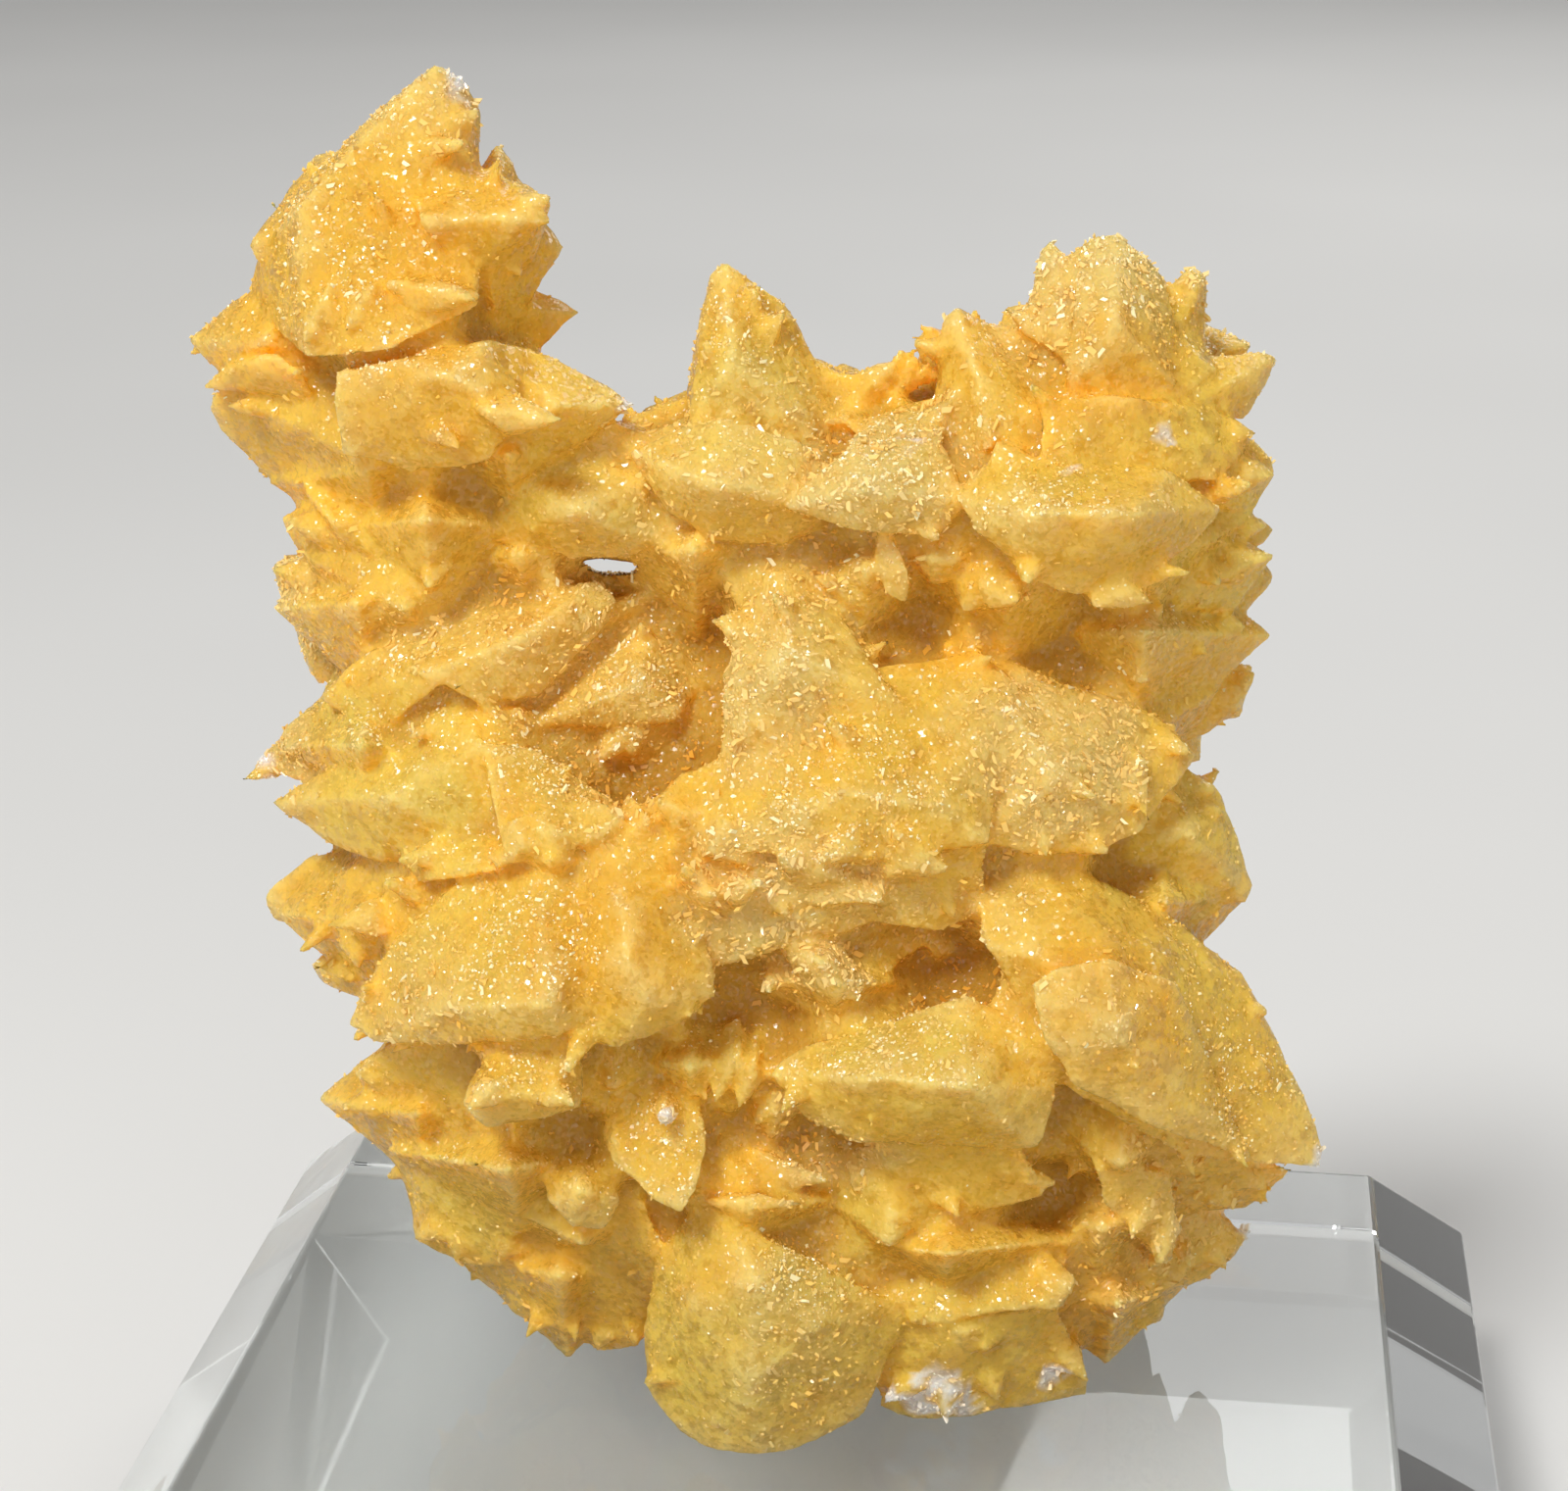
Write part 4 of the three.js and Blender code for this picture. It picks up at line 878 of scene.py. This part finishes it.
def makeCalciteBody():
    # all that overlaps becomes one skin, which is filled, roughened and thinned
    cadPlaces, cadTriangles = nodeArrays("calcite_cluster")
    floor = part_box("calcite_cluster")[0].z
    sprouts, sproutFaces = sproutingPoints(cadPlaces, cadTriangles)
    placed, placedFaces = placedCrystals(cadPlaces, cadTriangles)
    places, triangles = joinedArrays(
        [(cadPlaces, cadTriangles), (sprouts, sproutFaces), (placed, placedFaces)]
    )
    places, triangles = joinedArrays([(places, triangles), packing(places, triangles)])
    mesh = remeshed(places, triangles, calciteBody["voxel"])
    places, triangles = meshArrays(mesh)
    edges = meshEdges(mesh)
    print("calcite remeshed:", len(places), "points")
    places = filledCreases(places, triangles, edges, floor)
    places = roughened(places, triangles, floor)
    fine = addMesh("fine", places, triangles, calcite)
    decimate = fine.modifiers.new("Decimate", "DECIMATE")
    decimate.ratio = min(1, calciteBody["triangles"] / len(triangles))
    lean = evaluatedMesh(fine)
    bpy.data.objects.remove(fine)
    places, triangles = meshArrays(lean)
    places, triangles = largestPart(places, triangles, meshEdges(lean))
    tints = crystalTints(places)
    addReliefTints(tints, places, triangles)
    piece = addMesh("calcite_crystals", places, triangles, calcite, tints)
    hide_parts("calcite_cluster")
    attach(piece, "root")
    print("calcite finished:", len(triangles), "triangles")
    return places, triangles, tints


bodyPlaces, bodyTriangles, bodyTints = makeCalciteBody()

# The selenite druse: small glassy blades with slanted ends and lens-shaped grains, which crowd on the
# faces that look up and on the sugary parts, and leave the undersides nearly bare.
druseGrains = {
    "pieces": [("blades", 5000), ("grains", 24000), ("sparks", 15000)],
    # the widths and thicknesses are over the length, and the crowding is on plain undersides, on what
    # looks up and on the sugary parts
    "blades": {
        "length": (0.25 * mm, 0.6 * mm), "width": 0.34, "thick": 0.26, "crowding": (0.01, 0.08, 1.0),
    },
    "grains": {
        "length": (0.14 * mm, 0.36 * mm), "width": 0.75, "thick": 0.6, "crowding": (0.06, 0.5, 0.8),
    },
    "sparks": {
        "length": (0.12 * mm, 0.3 * mm), "width": 0.75, "thick": 0.6, "crowding": (0.0, 1.2, 0.1),
    },
    "lookout": (-0.1, -0.32, 0.92),  # the way the glinting faces look
    "looking": (-0.2, 0.8),  # how squarely they look there
    "litShare": 0.6,
    "patches": 2.2 * mm,  # the spacing of the drifts that it lies in
    "patchy": (-0.5, 0.5),
    "hollowLoss": 0.8,
    "slant": 0.3,  # how much shorter one edge of a blade is
    "lengthSkew": 2,  # the power that makes most of them short
    "stray": (0.7, 1.4),  # how much narrower or wider, thinner or thicker than that they are
    "lying": 0.7,  # the share that lies along the face
    "lyingTilt": (78, 92),  # degrees off the face's own direction
    "risenTilt": (25, 78),
    "roll": (0.18, 0.7),  # how far the lying ones and the risen ones turn about their length
    "risen": 0.3,  # how much farther out the risen ones sit, over their length
    "sunk": 0.62,  # how deep a grain sits, over its thickness
    "combed": 0.55,  # how far neighbours lie the same way
    "combSpacing": 4.5 * mm,
    # painted white glints: the share of grains painted nearly white, low on undersides, high on what is
    # lit
    "paintedGlintGrains": (0.01, 0.24),  # the share that is nearly white: on undersides, on what is lit
    "sparkleRim": 0.5,
    "sparkleFacing": (-0.4, 0.4),
    # where the crust crowds most and the most grains are painted white as glints: right, up and near in
    # mm, and how far it reaches
    "sparkling": [
        (3, -2, 11.5, 5.5), (-6.6, -20.2, 12, 3), (-13, -17, 14, 3), (-14, -10.5, 13.5, 4.5),
        (-12.6, 0.4, 8, 3), (13, 12, 12, 4), (6, 15, 8, 3), (-2.2, 20.5, 6, 3), (-19, 17.5, 9.5, 4),
        (-23, 26, 6.5, 4), (6, -16, 14, 5), (22, -18, 9, 4), (-7.4, 2.5, 5.2, 3.5), (-20, 2.6, 7, 3.5),
        (1.5, -28, 11.5, 4),
    ],
}
bladeCorners = np.array(list(np.ndindex(2, 2, 2)), float)  # end, side, face
bladeFaces = np.array(
    [[0, 1, 3, 2], [4, 6, 7, 5], [0, 4, 5, 1], [2, 3, 7, 6], [0, 2, 6, 4], [1, 5, 7, 3]]
)
grainCorners = np.array(
    [[0, 0.5, 0.5], [1, 0.5, 0.5], [0.4, 0, 0.5], [0.6, 1, 0.5], [0.5, 0.4, 0], [0.5, 0.6, 1]]
)
grainFaces = np.array(
    [[0, 5, 2], [0, 3, 5], [0, 4, 3], [0, 2, 4], [1, 2, 5], [1, 5, 3], [1, 3, 4], [1, 4, 2]]
)


def grainPlaces(kind, root, normal, seed):
    # each corner: root + end along the grain, side across its broad face and face through it,
    # with a blade's one edge cut short by the slant
    settings, shape = druseGrains, druseGrains[kind]
    random = np.random.default_rng(seed)
    count = len(root)
    flow = [smoothNoise(root, settings["combSpacing"], draws["comb"] + k) for k in range(3)]
    combed = settings["combed"]
    heading = combed * unit(np.stack(flow, 1)) + (1 - combed) * unit(random.normal(size=(count, 3)))
    heading = unit(heading - normal * (heading * normal).sum(1, keepdims=True))
    lying = random.random(count) < settings["lying"]
    flat, steep = (random.uniform(*settings[label], count) for label in ("lyingTilt", "risenTilt"))
    tilt = np.radians(np.where(lying, flat, steep))[:, None]
    along = normal * np.cos(tilt) + heading * np.sin(tilt)
    roll = np.where(lying, *settings["roll"])[:, None]
    broad = unit(np.cross(along, normal) + roll * random.normal(size=(count, 3)))
    broad = unit(broad - along * (broad * along).sum(1, keepdims=True))
    through = np.cross(along, broad)
    shortest, longest = shape["length"]
    length = shortest + (longest - shortest) * random.random(count) ** settings["lengthSkew"]
    length = length[:, None, None]
    width, thick = (
        shape[label] * random.uniform(*settings["stray"], (count, 1, 1)) for label in ("width", "thick")
    )
    corners = (bladeCorners if kind == "blades" else grainCorners)[None]
    end, side, face = corners[..., 0:1], corners[..., 1:2], corners[..., 2:3]
    if kind == "blades":
        end = end * (1 - settings["slant"] * side)
    offset = (end - 0.5) * along[:, None] + (side - 0.5) * width * broad[:, None]
    offset = offset + (face - 0.5) * thick * through[:, None]
    middle = root + normal * ((0.5 - settings["sunk"]) * (thick * length)[:, :, 0])
    risen = along * (settings["risen"] * length[:, :, 0]) * ~lying[:, None]
    return (middle + risen)[:, None] + offset * length


def grownDruse(number, kind, count, normals, lit):
    # crowding: bare, more where the skin looks up, where it is sugary and on the painted white glint
    # patches
    bare, onTop, onSugar = druseGrains[kind]["crowding"]
    crowding = bare + onTop * lit + onSugar * bodyTints["sugar"] + bodyTints["paintedGlint"]
    crowding = crowding[bodyTriangles].mean(1)
    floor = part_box("calcite_cluster")[0].z
    chosen, weights = scatter(bodyPlaces, bodyTriangles, count, draws["grainPlace"] + number, crowding)
    corners = bodyTriangles[chosen]
    root = (bodyPlaces[corners] * weights[:, :, None]).sum(1)
    normal = unit((normals[corners] * weights[:, :, None]).sum(1))
    grains = grainPlaces(kind, root, normal, draws["grainTurn"] + number)
    clear = grains[:, :, 2].min(1) > floor
    tints = {
        label: (values[corners] * weights).sum(1)[clear] for label, values in bodyTints.items()
    }
    places = grains[clear]
    perGrain = places.shape[1]
    shape = bladeFaces if kind == "blades" else grainFaces
    faces = (shape[None] + perGrain * np.arange(len(places))[:, None, None]).reshape(-1, shape.shape[1])
    # painted white glints: a share of the grains, most where the skin is lit, take the pale highlight
    # colour
    low, high = druseGrains["paintedGlintGrains"]
    share = low + (high - low) * (lit[corners] * weights).sum(1)[clear]
    paintedGlintGrains = np.random.default_rng(draws["paintedGlintGrains"] + number).random(len(places)) < share
    tints["ridge"] = np.maximum(tints["ridge"], paintedGlintGrains)
    spread = {label: np.repeat(values, perGrain) for label, values in tints.items()}
    name = f"selenite_druse_{number}"
    piece = addMesh(name, places.reshape(-1, 3), faces, druse, spread, smooth=False)
    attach(piece, "root")


def makeDruse():
    # most of it lies on what looks up and forward, in drifts and hardly in the hollows, and on the
    # sparkling spots
    settings = druseGrains
    normals = pointNormals(bodyPlaces, bodyTriangles)
    # lit: faces that look up and forward, roughly towards the key light; more grains crowd there and
    # more are painted white as glints
    lit = smoothStep(normals @ unit(np.array(settings["lookout"])), *settings["looking"])
    patches = smoothNoise(bodyPlaces, settings["patches"], draws["patches"])
    lit *= settings["litShare"] * smoothStep(patches, *settings["patchy"])
    lit *= 1 - settings["hollowLoss"] * bodyTints["hollow"]
    spots = spotTint(bodyPlaces, settings["sparkling"], draws["sparkleRim"], settings["sparkleRim"])
    lit += spots * smoothStep(normals[:, 2], *settings["sparkleFacing"])
    for number, (kind, count) in enumerate(settings["pieces"], 1):
        grownDruse(number, kind, count, normals, lit)
    print("druse grown")


makeDruse()

# The glass block: flat top, four sloping bevels, upright sides, with every edge ground a little.
glassBlock = {
    "bevelIn": 6.5 * mm,
    "bevelDown": 7 * mm,
    "foot": 0.6 * mm,
    "groundEdge": 0.3 * mm,
    "groundSteps": 3,
}


def makeGlassBlock():
    # a square outline carried up a profile of (inset, height), closed below and above
    low, high = (np.array(corner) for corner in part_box("glass_block"))
    foot = glassBlock["foot"]
    profile = np.array(
        [
            [foot, low[2]],
            [0, low[2] + foot],
            [0, high[2] - glassBlock["bevelDown"]],
            [glassBlock["bevelIn"], high[2]],
        ]
    )
    square = np.array([[-1, -1], [1, -1], [1, 1], [-1, 1]])
    middle, half = (low + high)[:2] / 2, (high - low)[:2] / 2
    level = middle + square * (half - profile[:, None, :1])
    heights = np.broadcast_to(profile[:, None, 1:], (4, 4, 1))
    places = np.concatenate([level, heights], 2).reshape(-1, 3)
    row, turn = np.mgrid[0:3, 0:4]
    here, after = 4 * row + turn, 4 * row + (turn + 1) % 4
    walls = np.stack([here, after, after + 4, here + 4], -1).reshape(-1, 4)
    faces = np.concatenate([walls, [[3, 2, 1, 0], [12, 13, 14, 15]]])
    piece = addMesh("glass_block_polished", places, faces, glass, smooth=False)
    ground = piece.modifiers.new("Ground edges", "BEVEL")
    ground.width = glassBlock["groundEdge"]
    ground.segments = glassBlock["groundSteps"]
    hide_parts("glass_block")
    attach(piece, "root")
    print("glass block made")


makeGlassBlock()

# The room: a pale floor, a soft key light above at the left, a wide fill, and pale air.
studio = {
    "floorHalf": 3.0,
    "floorCells": 12,
    "floorGap": 0.05 * mm,
    "key": {"place": (-0.16, -0.36, 0.53), "size": 0.16, "watts": 3.1},
    "fill": {"place": (0.35, -0.78, 0.08), "size": 0.6, "watts": 1.4},
    "back": {"place": (0.2, 0.6, 0.5), "size": 0.5, "watts": 1.5},
    "air": (paint(238, 238, 238), 0.38),
}


def makeFloor():
    # a flat grid, a hair under the block so that the two never coincide
    cells = studio["floorCells"]
    steps = np.linspace(-studio["floorHalf"], studio["floorHalf"], cells + 1)
    x, y = np.meshgrid(steps, steps)
    places = np.stack([x.ravel(), y.ravel(), np.full(x.size, -studio["floorGap"])], 1)
    row, column = np.mgrid[0:cells, 0:cells]
    corner = (cells + 1) * row + column
    above = corner + cells + 1
    faces = np.stack([corner, corner + 1, above + 1, above], -1).reshape(-1, 4)
    addMesh("floor", places, faces, floorFinish)


def makeLight(name):
    # a round lamp that faces the middle of the picture
    settings = studio[name]
    data = bpy.data.lights.new(name, "AREA")
    data.shape = "DISK"
    data.size = settings["size"]
    data.energy = settings["watts"]
    light = bpy.data.objects.new(name, data)
    bpy.context.scene.collection.objects.link(light)
    place = np.array(settings["place"])
    back = unit(place - lookedAt)
    side = unit(np.cross([0, 0, 1], back))
    turned = np.eye(4)
    turned[:3] = np.stack([side, np.cross(back, side), back, place], 1)
    light.matrix_world = Matrix(turned.tolist())


makeFloor()
for name in ("key", "fill", "back"):
    makeLight(name)
world = bpy.data.worlds.new("air")
world.use_nodes = True
air = world.node_tree.nodes["Background"]
air.inputs["Color"].default_value, air.inputs["Strength"].default_value = studio["air"]
bpy.context.scene.world = world
bpy.context.scene.view_settings.view_transform = "Standard"
print("room lit")
